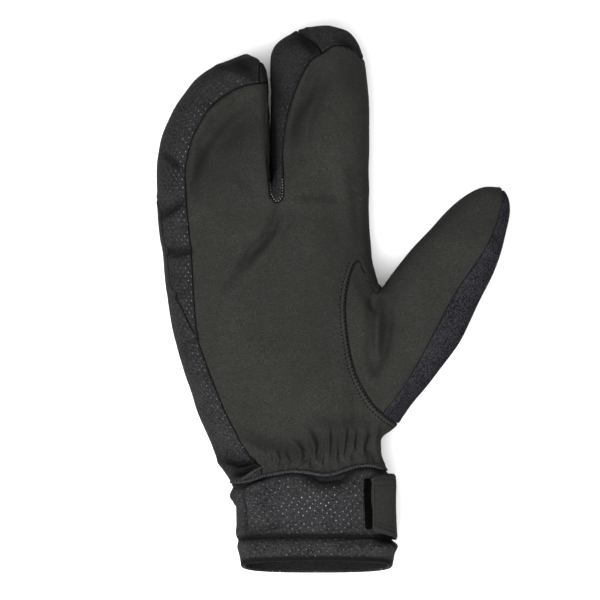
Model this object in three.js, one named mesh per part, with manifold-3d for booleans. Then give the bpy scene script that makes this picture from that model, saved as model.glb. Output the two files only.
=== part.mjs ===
// A right-hand lobster claw winter glove, lying on its back with the palm up.
// Millimetres, +Z up, +Y towards the fingertips, +X towards the thumb.
// The origin is on the surface it lies on, under the middle of the palm.
// The hand is one padded, hollow shell that splits into two finger lobes and a thumb. It is cut
// along its seams into panels, and the cuff, the seam ridge and the closure are made round it.
import * as THREE from "three";
import { mergeVertices } from "three/addons/utils/BufferGeometryUtils.js";
import Module from "manifold-3d";

const wasm = await Module();
wasm.setup();

// Driving sizes
const PALM_WIDTH = 106.5; // little-finger edge to index edge at the knuckles
const HAND_LENGTH = 222; // cuff seam to the tip of the index lobe
const HAND_DEPTH = 40; // back to palm, filled
const TIP_RISE = 7; // the fingertips curl up by this much
const THUMB_RISE = 4; // and the thumb by this much
const WALL = 3; // shell fabric with its lining
const PALM_PADDING = 1; // more than that on the palm side
const SEAM_GAP = 0.3; // between two panels at a seam
const PLEAT_HEIGHT = 1.3; // of the gathers above the cuff
const DENT_DEPTH = 1.5; // of the deepest dent in the suede
const SEAM_WAVE = 3.5; // how far the cuff seam strays from straight
const CUFF_LENGTH = 50;
const CUFF_WIDTH = 80;
const CUFF_DEPTH = 35;
const CUFF_WALL = 2.6;
const HEM_SLANT = 7.5; // the hem is this much longer at the back than at the palm
const RIDGE_RADIUS = 1; // of the rolled seam between hand and cuff
const TAB_THICKNESS = 2;
const TAB_WIDTH = 28.8; // along the arm, at its free end
const TAB_FLARE_WIDTH = 4.3; // it is this much wider where it turns round the cuff's edge
const TAB_CORNER = 3; // radius at its free end
const LOOP_THICKNESS = 1.3; // of the patch that the tab sticks to
const LOOP_WIDTH = 25;
const STRAP_CLEARANCE = 0.7; // under the tab and its patch

// Where things lie, as shares of the sizes above
const ORIGIN_ALONG = 0.385; // from the cuff seam, of HAND_LENGTH
const CUFF_CENTRE = 0.249; // from the palm's centre line, of PALM_WIDTH
const LOBE_BLEND = 0.12; // above the crotch the lobes grow round over this much of HAND_LENGTH

// Mesh density
const FRONT_COLUMNS = 32;
const BACK_COLUMNS = 12;
const SPLIT_SHARE = 0.5; // of the columns, on the little-finger side of the crotch
const THUMB_FRONT_COLUMNS = 6;
const THUMB_BACK_COLUMNS = 3;
const CROTCH_STEPS = 5;
const CUFF_SIDES = 36;
const RIDGE_SIDES = 5;

const table = (columns, ...rows) =>
  rows.map((row) => Object.fromEntries(columns.map((name, i) => [name, row[i]])));

// Sections of the palm, from the cuff seam to the crotch between the lobes. Along is a share of
// HAND_LENGTH, left and right of PALM_WIDTH, front and back of HAND_DEPTH.
const PALM = table(
  ["along", "left", "right", "front", "back"],
  [0.0, -0.178, 0.587, 0.37, 0.41],
  [0.036, -0.218, 0.559, 0.39, 0.47],
  [0.074, -0.254, 0.561, 0.42, 0.52],
  [0.137, -0.305, 0.566, 0.47, 0.53],
  [0.227, -0.366, 0.554, 0.5, 0.54],
  [0.34, -0.427, 0.54, 0.5, 0.54],
  [0.471, -0.474, 0.512, 0.49, 0.54],
  [0.543, -0.493, 0.5, 0.48, 0.53],
  [0.61, -0.5, 0.5, 0.47, 0.52],
);
const THUMB_FROM = 2; // the thumb grows out of the rows between these two
const THUMB_TO = 6;
const PALM_SQUARE = { left: 2.5, right: 2.6 };

// Sections of the lobe for ring and little finger, then of the one for index and middle finger
const LITTLE_LOBE = table(
  ["along", "left", "right", "front", "back"],
  [0.61, -0.5, 0.034, 0.47, 0.52],
  [0.678, -0.498, 0.031, 0.46, 0.49],
  [0.745, -0.477, 0.028, 0.45, 0.47],
  [0.802, -0.432, 0.026, 0.43, 0.45],
  [0.847, -0.373, 0.025, 0.4, 0.41],
  [0.881, -0.31, 0.022, 0.35, 0.36],
  [0.908, -0.232, 0.009, 0.28, 0.29],
  [0.926, -0.155, -0.028, 0.19, 0.2],
  [0.936, -0.09, -0.07, 0.03, 0.03],
);
const LITTLE_SQUARE = { left: 2.3, right: 5 };
const INDEX_LOBE = table(
  ["along", "left", "right", "front", "back"],
  [0.61, 0.038, 0.5, 0.47, 0.52],
  [0.7, 0.038, 0.5, 0.47, 0.49],
  [0.791, 0.036, 0.498, 0.46, 0.47],
  [0.858, 0.034, 0.491, 0.43, 0.44],
  [0.903, 0.033, 0.484, 0.4, 0.4],
  [0.937, 0.042, 0.472, 0.35, 0.35],
  [0.962, 0.075, 0.455, 0.28, 0.28],
  [0.982, 0.141, 0.423, 0.2, 0.2],
  [0.993, 0.207, 0.385, 0.12, 0.12],
  [1.0, 0.285, 0.315, 0.03, 0.03],
);
const INDEX_SQUARE = { left: 2.2, right: 2.6 };

// Rings of the thumb, each given by its edge towards the index finger and its outer edge
const THUMB = table(
  ["innerAcross", "innerAlong", "outerAcross", "outerAlong", "front", "back", "rise"],
  [0.577, 0.419, 0.667, 0.124, 0.47, 0.44, 0.1],
  [0.643, 0.462, 0.798, 0.207, 0.45, 0.43, 0.3],
  [0.718, 0.502, 0.92, 0.295, 0.42, 0.41, 0.5],
  [0.798, 0.545, 1.019, 0.378, 0.39, 0.38, 0.7],
  [0.878, 0.588, 1.094, 0.464, 0.35, 0.34, 0.85],
  [0.939, 0.617, 1.141, 0.536, 0.29, 0.29, 0.95],
  [0.995, 0.634, 1.157, 0.59, 0.22, 0.22, 1.0],
  [1.042, 0.641, 1.146, 0.622, 0.13, 0.13, 1.0],
  [1.085, 0.641, 1.115, 0.638, 0.03, 0.03, 1.0],
);
const THUMB_SQUARE = 2.3;
const THUMB_SIDE_ANGLE = THREE.MathUtils.degToRad(40);
const LOBE_SIDE_ANGLE = THREE.MathUtils.degToRad(38);

// Sections of the cuff. Down is a share of CUFF_LENGTH, left and right of CUFF_WIDTH, front and
// back of CUFF_DEPTH, and slant of HEM_SLANT.
const CUFF = table(
  ["down", "left", "right", "front", "back", "slant"],
  [0.0, -0.544, 0.452, 0.47, 0.42, 0.0],
  [0.16, -0.519, 0.459, 0.49, 0.48, 0.1],
  [0.23, -0.537, 0.459, 0.5, 0.5, 0.15],
  [0.36, -0.491, 0.459, 0.5, 0.5, 0.3],
  [0.62, -0.497, 0.462, 0.49, 0.5, 0.6],
  [0.72, -0.489, 0.472, 0.47, 0.49, 0.72],
  [0.82, -0.484, 0.49, 0.49, 0.5, 0.85],
  [0.935, -0.475, 0.481, 0.45, 0.48, 1.0],
);
const CUFF_SQUARE = 2.5;
const TAB_DOWN = 0.317; // middle of the tab's free end, of CUFF_LENGTH

// How the seam between hand and cuff wanders, as shares of PALM_WIDTH and SEAM_WAVE
const WRIST_WAVE = table(
  ["across", "rise"],
  [-0.146, -1.5],
  [-0.108, -1.43],
  [-0.047, -1.0],
  [0.005, -0.43],
  [0.056, -0.14],
  [0.131, 0.21],
  [0.2, 0.1],
  [0.305, -0.29],
  [0.397, 0.49],
  [0.455, 0.94],
  [0.516, 0.94],
  [0.577, 0.29],
  [0.6, 0.1],
);

// The gathers above the cuff seam, a row for each: where it stands, how far up the hand it
// reaches, how high it is as a share of PLEAT_HEIGHT, and how far its upper end leans.
const PLEATS = table(
  ["across", "reach", "height", "lean"],
  [0.028, 0.07, 0.8, -0.09],
  [0.105, 0.08, 0.9, -0.06],
  [0.178, 0.09, 1.0, -0.03],
  [0.244, 0.11, 1.0, 0.0],
  [0.31, 0.09, 0.8, 0.0],
  [0.376, 0.12, 0.9, 0.01],
  [0.44, 0.1, 0.8, 0.01],
  [0.51, 0.09, 0.6, 0.0],
);
const PLEAT_WIDTH = 0.02; // of PALM_WIDTH

// Dents in the palm side, as short valleys. Width is a share of PALM_WIDTH, depth of DENT_DEPTH.
const DENTS = table(
  ["across", "along", "toAcross", "toAlong", "width", "depth"],
  [0.066, 0.58, -0.005, 0.509, 0.06, 0.6],
  [-0.005, 0.509, -0.131, 0.435, 0.07, 0.5],
  [0.57, 0.37, 0.577, 0.32, 0.07, 1.0],
  [0.577, 0.32, 0.515, 0.225, 0.07, 1.0],
  [-0.27, 0.7, -0.2, 0.79, 0.07, 0.6],
);

// Seams seen from the palm side, as shares of PALM_WIDTH and HAND_LENGTH
const PALM_SEAM_OUTER = table(
  ["across", "along"],
  [-0.005, 0.011],
  [-0.061, 0.036],
  [-0.117, 0.081],
  [-0.178, 0.137],
  [-0.235, 0.205],
  [-0.277, 0.261],
  [-0.305, 0.306],
  [-0.322, 0.408],
  [-0.338, 0.509],
  [-0.357, 0.61],
  [-0.357, 0.689],
  [-0.305, 0.766],
  [-0.225, 0.824],
  [-0.108, 0.86],
  [0.03, 0.873],
);
const PALM_SEAM_SPLIT = table(
  ["across", "along"],
  [0.03, 0.872],
  [0.031, 0.836],
  [0.031, 0.644],
  [0.04, 0.617],
  [0.061, 0.603],
  [0.085, 0.608],
  [0.099, 0.628],
  [0.094, 0.712],
  [0.113, 0.795],
  [0.174, 0.876],
  [0.225, 0.919],
  [0.277, 0.936],
  [0.329, 0.953],
  [0.385, 0.955],
  [0.446, 0.941],
  [0.52, 0.905],
);
const THUMB_SEAM_FRONT = table(
  ["across", "along"],
  [0.6, 0.435],
  [0.577, 0.421],
  [0.549, 0.408],
  [0.526, 0.405],
  [0.465, 0.455],
  [0.441, 0.473],
  [0.404, 0.43],
  [0.387, 0.374],
  [0.397, 0.306],
  [0.432, 0.223],
  [0.502, 0.16],
  [0.568, 0.128],
  [0.634, 0.106],
  [0.68, 0.09],
);
const THUMB_SEAM_BACK = table(
  ["across", "along"],
  [0.6, 0.435],
  [0.56, 0.41],
  [0.484, 0.318],
  [0.502, 0.194],
  [0.634, 0.106],
  [0.68, 0.09],
);
// Between the suede of the thumb and the brushed fabric on its back
const THUMB_BACK_SEAM = table(
  ["across", "along"],
  [1.14, 0.69],
  [1.127, 0.642],
  [1.117, 0.588],
  [1.038, 0.498],
  [0.906, 0.405],
  [0.784, 0.295],
  [0.667, 0.194],
  [0.563, 0.131],
  [0.5, 0.09],
);
// Where the back panel comes round the little-finger edge, down to the cuff
const BACK_WRAP_SEAM = table(
  ["across", "along"],
  [-0.53, 0.65],
  [-0.507, 0.622],
  [-0.484, 0.583],
  [-0.46, 0.495],
  [-0.427, 0.412],
  [-0.378, 0.367],
  [-0.31, 0.302],
  [-0.22, 0.24],
);
// Between the side wall of the index lobe and the wall inside the split
const INDEX_TIP_SEAM = table(
  ["across", "along"],
  [0.1, 1.06],
  [0.16, 0.99],
  [0.221, 0.968],
  [0.263, 0.948],
  [0.278, 0.925],
  [0.28, 0.9],
);
const LITTLE_TIP_SEAM_ACROSS = -0.012;

// Heights of the seams that run round the sides, as shares of HAND_DEPTH. On both sides the
// back panel stands higher near the wrist, where no side wall comes between it and the palm.
const INDEX_SEAM_HEIGHT = 0.36;
const THUMB_SEAM_HEIGHT = 0.42;
const BACK_SEAM_THUMB_SIDE = table(
  ["along", "height"],
  [-0.1, INDEX_SEAM_HEIGHT],
  [0.28, INDEX_SEAM_HEIGHT],
  [0.36, 0.17],
  [0.5, 0.17],
  [0.7, 0.17],
  [0.85, 0.17],
  [1.1, 0.17],
);
const BACK_SEAM_LITTLE_SIDE = table(
  ["along", "height"],
  [-0.1, 0.5],
  [0.54, 0.5],
  [0.6, 0.3],
  [0.66, 0.17],
  [0.8, 0.17],
  [1.1, 0.17],
);
const SIDE_ACROSS = -0.25; // the little-finger side ends here
const FAR = 3; // cutters run past the glove, to this many hand lengths

const acrossX = (across) => across * PALM_WIDTH;
const alongY = (along) => (along - ORIGIN_ALONG) * HAND_LENGTH;
const WRIST_Y = alongY(0);
const MIDDLE = HAND_DEPTH / 2;

// Catmull-Rom through every column of a table, at row number s
function rowAt(rows, s) {
  const last = rows.length - 1;
  const i = Math.min(Math.floor(s), last - 1);
  const t = s - i;
  const made = {};
  for (const name of Object.keys(rows[0])) {
    const value = (k) => {
      if (k < 0) return 2 * rows[0][name] - rows[1][name];
      if (k > last) return 2 * rows[last][name] - rows[last - 1][name];
      return rows[k][name];
    };
    const [a, b, c, d] = [value(i - 1), value(i), value(i + 1), value(i + 2)];
    const bend = 2 * a - 5 * b + 4 * c - d;
    const twist = -a + 3 * b - 3 * c + d;
    made[name] = 0.5 * (2 * b + (c - a) * t + bend * t * t + twist * t * t * t);
  }
  return made;
}

// The row of a table where one of its columns, which must rise, reaches a value
function rowWhere(rows, name, value) {
  const next = rows.findIndex((row) => row[name] > value);
  if (next < 1) return rows.at(next ? -1 : 0);
  const [a, b] = [rows[next - 1][name], rows[next][name]];
  return rowAt(rows, next - 1 + (value - a) / (b - a));
}

// Height of the middle of the hand, which rises towards the fingertips
function middleAt(y) {
  const share = THREE.MathUtils.clamp((y - alongY(0.5)) / (0.5 * HAND_LENGTH), 0, 1);
  return MIDDLE + TIP_RISE * share ** 1.6;
}

// How far the cuff seam has strayed at x
const waveAt = (x) => SEAM_WAVE * rowWhere(WRIST_WAVE, "across", x / PALM_WIDTH).rise;

const alongLine = (x, y, line) => {
  const start = new THREE.Vector2(acrossX(line.across), alongY(line.along));
  const run = new THREE.Vector2(acrossX(line.toAcross), alongY(line.toAlong)).sub(start);
  const point = new THREE.Vector2(x, y).sub(start);
  const share = THREE.MathUtils.clamp(point.dot(run) / run.lengthSq(), 0, 1);
  return point.distanceTo(run.multiplyScalar(share));
};

// Gathers and dents on the palm side at x, y
function reliefAt(x, y) {
  let height = 0;
  for (const pleat of PLEATS) {
    const up = (y - WRIST_Y) / (pleat.reach * HAND_LENGTH);
    const off = x - acrossX(pleat.across + pleat.lean * up ** 2);
    const width = PLEAT_WIDTH * PALM_WIDTH * (1 + 0.5 * up);
    const fade = THREE.MathUtils.clamp(1.2 - up, 0, 1);
    height += PLEAT_HEIGHT * pleat.height * fade * Math.exp(-((off / width) ** 2));
  }
  const dents = DENTS.map((dent) => {
    const off = alongLine(x, y, dent) / (dent.width * PALM_WIDTH);
    return dent.depth * Math.exp(-(off ** 2));
  });
  return height - DENT_DEPTH * Math.max(...dents);
}

const power = (value, exponent) => Math.sign(value) * Math.abs(value) ** exponent;

// A point of a section at a share of its width, on the palm side or the back
function columnPoint(section, square, share, onFront) {
  const t = 2 * share - 1;
  const n = t < 0 ? square.left : square.right;
  const round = Math.max(0, 1 - Math.abs(t) ** n) ** (1 / n);
  const x = THREE.MathUtils.lerp(section.left, section.right, share);
  return new THREE.Vector3(x, section.y, (onFront ? section.front : -section.back) * round);
}

// A point of a section at an angle: 0 is its right edge and a quarter turn is the palm side
function anglePoint(section, square, angle) {
  const c = Math.cos(angle);
  const s = Math.sin(angle);
  const n = c < 0 ? square.left : square.right;
  const centre = (section.left + section.right) / 2;
  const half = (section.right - section.left) / 2;
  const depth = s > 0 ? section.front : section.back;
  return new THREE.Vector3(centre + half * power(c, 2 / n), section.y, depth * power(s, 2 / n));
}

// Columns are closer at the edges of the hand
const columnShare = (i, split, count, splitShare) => {
  const edge = (t) => 0.5 * t + 0.5 * (1 - Math.cos((t * Math.PI) / 2));
  if (i <= split) return splitShare * edge(i / split);
  return 1 - (1 - splitShare) * edge((count - i) / (count - split));
};

const CUFF_MIDDLE = TAB_THICKNESS + SEAM_GAP + CUFF_DEPTH / 2;
const cuffX = (share) => CUFF_CENTRE * PALM_WIDTH + share * CUFF_WIDTH;

// The cuff's section at a share of its length, in millimetres
function cuffSection(down) {
  const row = rowWhere(CUFF, "down", down);
  return {
    y: WRIST_Y - row.down * CUFF_LENGTH,
    left: cuffX(row.left),
    right: cuffX(row.right),
    front: row.front * CUFF_DEPTH,
    back: row.back * CUFF_DEPTH,
    slant: row.slant * HEM_SLANT,
  };
}

// The hand's sections in millimetres. The first is the top of the cuff.
const scaled = (row) => ({
  y: alongY(row.along),
  left: acrossX(row.left),
  right: acrossX(row.right),
  front: row.front * HAND_DEPTH,
  back: row.back * HAND_DEPTH,
});
const palmSections = PALM.map(scaled);
const { y, left, right, front, back } = cuffSection(0);
palmSections[0] = { y, left, right, front, back };

// A closed surface of the hand: hand, lobes and thumb. With an inset it is the hollow inside.
class HandSurface {
  constructor(sizes) {
    Object.assign(this, sizes);
    const { inset, columns, backColumns } = sizes;
    this.split = Math.round(columns * SPLIT_SHARE);
    this.backSplit = Math.round(backColumns * SPLIT_SHARE);
    this.points = [];
    this.faces = [];
    this.floor = inset;
    this.build();
  }

  add(point) {
    this.points.push(new THREE.Vector3(point.x, point.y, Math.max(point.z, this.floor)));
    return this.points.length - 1;
  }

  strip(loop, next, skip = () => false) {
    loop.forEach((a, i) => {
      const k = (i + 1) % loop.length;
      if (skip(i)) return;
      this.faces.push(a, loop[k], next[k], a, next[k], next[i]);
    });
  }

  // Raises a section's point to its place, with gathers and dents on the outer palm side
  placed(point, onFront) {
    const middle = middleAt(point.y);
    const edge = Math.min(1, Math.abs(point.z) / (0.35 * HAND_DEPTH));
    const relief = onFront && !this.inset ? reliefAt(point.x, point.y) * edge ** 2 : 0;
    const nearSeam = Math.max(0, 1 - (point.y - WRIST_Y) / (0.08 * HAND_LENGTH));
    const wave = this.inset ? 0 : waveAt(point.x) * nearSeam;
    return new THREE.Vector3(point.x, point.y + wave, middle + point.z + relief);
  }

  palmSection(s) {
    const row = rowAt(palmSections, s);
    const top = s / (palmSections.length - 1);
    return {
      y: row.y - 2 * this.inset * top,
      left: row.left + this.inset,
      right: row.right - this.inset,
      front: row.front - this.inset - this.padding,
      back: row.back - this.inset,
    };
  }

  // Shrinks a lobe or the thumb evenly, so that its tip keeps a wall too
  lobeSection(sections, s) {
    const row = rowAt(sections, s);
    const first = sections[0];
    const last = sections[sections.length - 1];
    const along = (row.y - first.y) / (last.y - first.y);
    const narrow = (2 * this.inset) / (first.right - first.left);
    const thin = (2 * this.inset + this.padding) / (first.front + first.back);
    const centre = (row.left + row.right) / 2;
    const half = ((row.right - row.left) / 2) * (1 - narrow);
    return {
      y: row.y - this.inset * (1 + 0.4 * along),
      left: centre - half,
      right: centre + half,
      front: row.front * (1 - thin),
      back: row.back * (1 - thin),
    };
  }

  build() {
    const { columns, backColumns, split, backSplit, steps } = this;
    const splitX = (acrossX(LITTLE_LOBE[0].right) + acrossX(INDEX_LOBE[0].left)) / 2;
    const splitShare = (splitX - palmSections.at(-1).left) / PALM_WIDTH;
    const front = (i) => columnShare(i, split, columns, splitShare);
    const back = (i) => columnShare(i, backSplit, backColumns, splitShare);

    const palmLoop = (section) => {
      const loop = [];
      for (let i = 0; i <= columns; i++)
        loop.push(this.add(this.placed(columnPoint(section, PALM_SQUARE, front(i), true), true)));
      for (let i = backColumns - 1; i > 0; i--)
        loop.push(this.add(this.placed(columnPoint(section, PALM_SQUARE, back(i), false), false)));
      return loop;
    };
    const rows = (palmSections.length - 1) * steps;
    const loops = [];
    for (let r = 0; r <= rows; r++) loops.push(palmLoop(this.palmSection(r / steps)));

    const from = THUMB_FROM * steps;
    const to = THUMB_TO * steps;
    const k0 = columns - this.thumbColumns;
    const k1 = columns + this.backThumbColumns;
    for (let r = 0; r < rows; r++)
      this.strip(loops[r], loops[r + 1], (i) => r >= from && r < to && i >= k0 && i < k1);

    this.closeWrist(loops[0]);
    this.lobes(loops[rows], front, back, splitX);
    this.thumb(loops, from, to, k0, k1);
  }

  // The outer surface ends in a face at the cuff seam, and the hollow runs on out through it
  closeWrist(loop) {
    if (this.inset) {
      const out = loop.map((i) => {
        const p = this.points[i].clone();
        p.y -= 2 * this.inset + SEAM_WAVE;
        return this.add(p);
      });
      this.strip(out, loop);
      loop = out;
    }
    const centre = new THREE.Vector3();
    for (const i of loop) centre.addScaledVector(this.points[i], 1 / loop.length);
    const c = this.add(centre);
    loop.forEach((a, i) => this.faces.push(c, loop[(i + 1) % loop.length], a));
  }

  closeTip(loop) {
    const tip = new THREE.Vector3();
    for (const i of loop) tip.addScaledVector(this.points[i], 1 / loop.length);
    const c = this.add(tip);
    loop.forEach((a, i) => this.faces.push(a, loop[(i + 1) % loop.length], c));
  }

  // Two lobes go up from the crotch, where a short web crosses from the palm side to the back
  lobes(crown, front, back, splitX) {
    const { columns, backColumns, split, backSplit, steps } = this;
    const frontAt = (i) => crown[i];
    const backAt = (i) => (i === 0 ? crown[0] : crown[columns + backColumns - i]);
    const high = this.points[frontAt(split)];
    const low = this.points[backAt(backSplit)];
    const web = [];
    for (let m = 1; m < CROTCH_STEPS; m++)
      web.push(this.add(high.clone().lerp(low, m / CROTCH_STEPS)));
    const span = (a, b) => Array.from({ length: Math.abs(b - a) + 1 }, (_, i) => a + Math.sign(b - a) * i);

    const littleRows = LITTLE_LOBE.map(scaled);
    const indexRows = INDEX_LOBE.map(scaled);
    const blendTop = LOBE_BLEND * HAND_LENGTH;
    const turn = Math.PI - LOBE_SIDE_ANGLE;

    const grow = (lobeRows, square, first, places) => {
      let loop = first;
      for (let r = 1; r <= (lobeRows.length - 1) * steps; r++) {
        const section = this.lobeSection(lobeRows, r / steps);
        const rise = section.y - this.points[first[0]].y;
        const round = THREE.MathUtils.smoothstep(rise, 0, blendTop);
        const next = places.map((place) => {
          const free = anglePoint(section, square, place.angle);
          const held = place.held(section);
          return this.add(this.placed(held.lerp(free, round), place.onFront));
        });
        this.strip(loop, next);
        loop = next;
      }
      this.closeTip(loop);
    };

    // While it still follows the palm, a column keeps its share of the lobe's width
    const column = (i, onFront, isLittle) => {
      const count = onFront ? columns : backColumns;
      const middle = onFront ? split : backSplit;
      const share = onFront ? front(i) : back(i);
      const edge = onFront ? front(middle) : back(middle);
      const part = isLittle ? i / middle : (count - i) / (count - middle);
      const angle = isLittle ? Math.PI - turn * part : turn * part;
      const held = (section) => {
        const point = columnPoint(section, PALM_SQUARE, share, onFront);
        const within = isLittle ? share / edge : (share - edge) / (1 - edge);
        point.x = THREE.MathUtils.lerp(section.left, section.right, within);
        return point;
      };
      return { angle: onFront ? angle : -angle, held, onFront };
    };
    const webPlace = (m, isLittle) => {
      const share = m / CROTCH_STEPS;
      const inner = LOBE_SIDE_ANGLE * (1 - 2 * share);
      const held = (section) =>
        new THREE.Vector3(
          isLittle ? section.right : section.left,
          section.y,
          THREE.MathUtils.lerp(section.front, -section.back, share),
        );
      return { angle: isLittle ? inner : Math.PI - inner, held, onFront: share < 0.5 };
    };
    const webSteps = span(1, CROTCH_STEPS - 1);

    grow(
      littleRows,
      LITTLE_SQUARE,
      [...span(0, split).map(frontAt), ...web, ...span(backSplit, 1).map(backAt)],
      [
        ...span(0, split).map((i) => column(i, true, true)),
        ...webSteps.map((m) => webPlace(m, true)),
        ...span(backSplit, 1).map((i) => column(i, false, true)),
      ],
    );
    grow(
      indexRows,
      INDEX_SQUARE,
      [
        ...span(split, columns).map(frontAt),
        ...span(backColumns - 1, backSplit).map(backAt),
        ...web.toReversed(),
      ],
      [
        ...span(split, columns).map((i) => column(i, true, false)),
        ...span(backColumns - 1, backSplit).map((i) => column(i, false, false)),
        ...webSteps.toReversed().map((m) => webPlace(m, false)),
      ],
    );
  }

  // The thumb grows from an opening in the index edge of the hand
  thumb(loops, from, to, k0, k1) {
    const mouth = [];
    for (let r = to; r > from; r--) mouth.push(loops[r][k0]);
    for (let k = k0; k < k1; k++) mouth.push(loops[from][k]);
    for (let r = from; r < to; r++) mouth.push(loops[r][k1]);
    for (let k = k1; k > k0; k--) mouth.push(loops[to][k]);
    const side = k1 - k0;
    const face = to - from;
    const wide = Math.PI - 2 * THUMB_SIDE_ANGLE;
    const angles = mouth.map((_, i) => {
      if (i < face) return Math.PI - THUMB_SIDE_ANGLE - (wide * i) / face;
      if (i < face + side) return THUMB_SIDE_ANGLE * (1 - (2 * (i - face)) / side);
      if (i < 2 * face + side) return -THUMB_SIDE_ANGLE - (wide * (i - face - side)) / face;
      return Math.PI + THUMB_SIDE_ANGLE * (1 - (2 * (i - 2 * face - side)) / side);
    });

    const first = THUMB[0];
    const width = Math.hypot(
      acrossX(first.outerAcross - first.innerAcross),
      (first.outerAlong - first.innerAlong) * HAND_LENGTH,
    );
    const narrow = 1 - (2.4 * this.inset) / width;
    const lost = 2 * this.inset + this.padding;
    const thin = 1 - lost / ((first.front + first.back) * HAND_DEPTH);
    const ring = (s) => {
      const row = rowAt(THUMB, s);
      const inner = new THREE.Vector2(acrossX(row.innerAcross), alongY(row.innerAlong));
      const outer = new THREE.Vector2(acrossX(row.outerAcross), alongY(row.outerAlong));
      const centre = inner.clone().add(outer).divideScalar(2);
      const half = outer.clone().sub(inner).multiplyScalar(narrow / 2);
      const back = new THREE.Vector2(half.y, -half.x).normalize();
      centre.addScaledVector(back, (1.5 * this.inset * s) / (THUMB.length - 1));
      const middle = MIDDLE + THUMB_RISE * row.rise;
      return angles.map((angle) => {
        const c = power(Math.cos(angle), 2 / THUMB_SQUARE);
        const depth = thin * HAND_DEPTH * (Math.sin(angle) > 0 ? row.front : row.back);
        const z = depth * power(Math.sin(angle), 2 / THUMB_SQUARE);
        const x = centre.x + half.x * c;
        const y = centre.y + half.y * c;
        const relief = z > 0 && !this.inset ? reliefAt(x, y) : 0;
        return new THREE.Vector3(x, y, middle + z + relief);
      });
    };

    // From the opening to the first ring the surface bends over in two steps
    const start = mouth.map((i) => this.points[i]);
    const ring0 = ring(0);
    const ring1 = ring(1);
    let loop = mouth;
    for (const t of [1 / 3, 2 / 3]) {
      const next = start.map((p, i) => {
        const reach = ring0[i].distanceTo(p);
        const arrive = ring1[i].clone().sub(ring0[i]).setLength(0.5 * reach);
        const control = ring0[i].clone().sub(arrive);
        return this.add(p.clone().lerp(control, t).lerp(control.clone().lerp(ring0[i], t), t));
      });
      this.strip(loop, next);
      loop = next;
    }
    for (let r = 0; r < THUMB.length; r++) {
      const next = ring(r).map((p) => this.add(p));
      this.strip(loop, next);
      loop = next;
    }
    this.closeTip(loop);
  }

  solid() {
    return solidOf(geometryOf(this.points, this.faces));
  }
}

function geometryOf(points, faces) {
  const geometry = new THREE.BufferGeometry().setFromPoints(points);
  geometry.setIndex(faces);
  return geometry;
}

function solidOf(geometry) {
  const bare = new THREE.BufferGeometry();
  bare.setAttribute("position", geometry.getAttribute("position"));
  bare.setIndex(geometry.index);
  const merged = mergeVertices(bare, 1e-4);
  return new wasm.Manifold(
    new wasm.Mesh({
      numProp: 3,
      vertProperties: new Float32Array(merged.attributes.position.array),
      triVerts: new Uint32Array(merged.index.array),
    }),
  );
}

// The largest body of a cut, without the slivers that a seam leaves
const largest = (solid) =>
  solid.decompose().reduce((best, body) => (body.volume() > best.volume() ? body : best));

function meshOf(name, solid, material) {
  const made = solid.getMesh();
  const geometry = new THREE.BufferGeometry();
  geometry.setAttribute("position", new THREE.BufferAttribute(made.vertProperties, 3));
  geometry.setIndex(new THREE.BufferAttribute(made.triVerts, 1));
  geometry.computeVertexNormals();
  const mesh = new THREE.Mesh(geometry, material);
  mesh.name = name;
  return mesh;
}

// A seam as a smooth line, moved sideways to its left by an offset
function seamLine(rows, offset = 0, density = 2) {
  const curve = new THREE.SplineCurve(
    rows.map((row) => new THREE.Vector2(acrossX(row.across), alongY(row.along))),
  );
  const count = (rows.length - 1) * density;
  return Array.from({ length: count + 1 }, (_, i) => {
    const point = curve.getPoint(i / count);
    const ahead = curve.getTangent(i / count);
    return point.add(new THREE.Vector2(-ahead.y, ahead.x).multiplyScalar(offset));
  });
}

const at = (across, along) => new THREE.Vector2(acrossX(across), alongY(along));

// A cutter with this outline from above, through the whole glove
function planCutter(outline) {
  const depth = FAR * HAND_DEPTH;
  const geometry = new THREE.ExtrudeGeometry(new THREE.Shape(outline), {
    depth,
    bevelEnabled: false,
  });
  return solidOf(geometry.translate(0, 0, MIDDLE - depth / 2));
}

// A cutter of everything above a line of heights that runs along the hand
function heightCutter(heights, fromX, toX) {
  const far = FAR * HAND_LENGTH;
  const outline = [
    new THREE.Vector2(-far, heights[0].y),
    ...heights,
    new THREE.Vector2(far, heights.at(-1).y),
    new THREE.Vector2(far, far),
    new THREE.Vector2(-far, far),
  ];
  const geometry = new THREE.ExtrudeGeometry(new THREE.Shape(outline), {
    depth: toX - fromX,
    bevelEnabled: false,
  });
  const turned = new THREE.Matrix4().makeBasis(
    new THREE.Vector3(0, 1, 0),
    new THREE.Vector3(0, 0, 1),
    new THREE.Vector3(1, 0, 0),
  );
  return solidOf(geometry.applyMatrix4(turned).translate(fromX, 0, 0));
}

// Heights along the hand that follow the rise of the tips, from shares of HAND_DEPTH
const heightLine = (rows, offset) =>
  rows.map(({ along, height }) => {
    const y = alongY(along);
    return new THREE.Vector2(y, middleAt(y) + (height - 0.5) * HAND_DEPTH + offset);
  });
const levelLine = (height, offset) =>
  heightLine([-0.1, 0.5, 0.62, 0.75, 0.87, 1.1].map((along) => ({ along, height })), offset);

// Regions of the shell. Grow is how far each one reaches over its seams: half a seam gap for
// what is cut away, and less than nothing for what is kept.
function palmRegion(grow) {
  const outline = [
    ...seamLine(PALM_SEAM_OUTER, grow),
    ...seamLine(PALM_SEAM_SPLIT, grow),
    at(0.8, 0.8),
    at(0.8, -0.1),
    at(-0.005, -0.1),
  ];
  const above = heightCutter(levelLine(INDEX_SEAM_HEIGHT, -grow), -PALM_WIDTH, PALM_WIDTH);
  return planCutter(outline).intersect(above);
}

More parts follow.
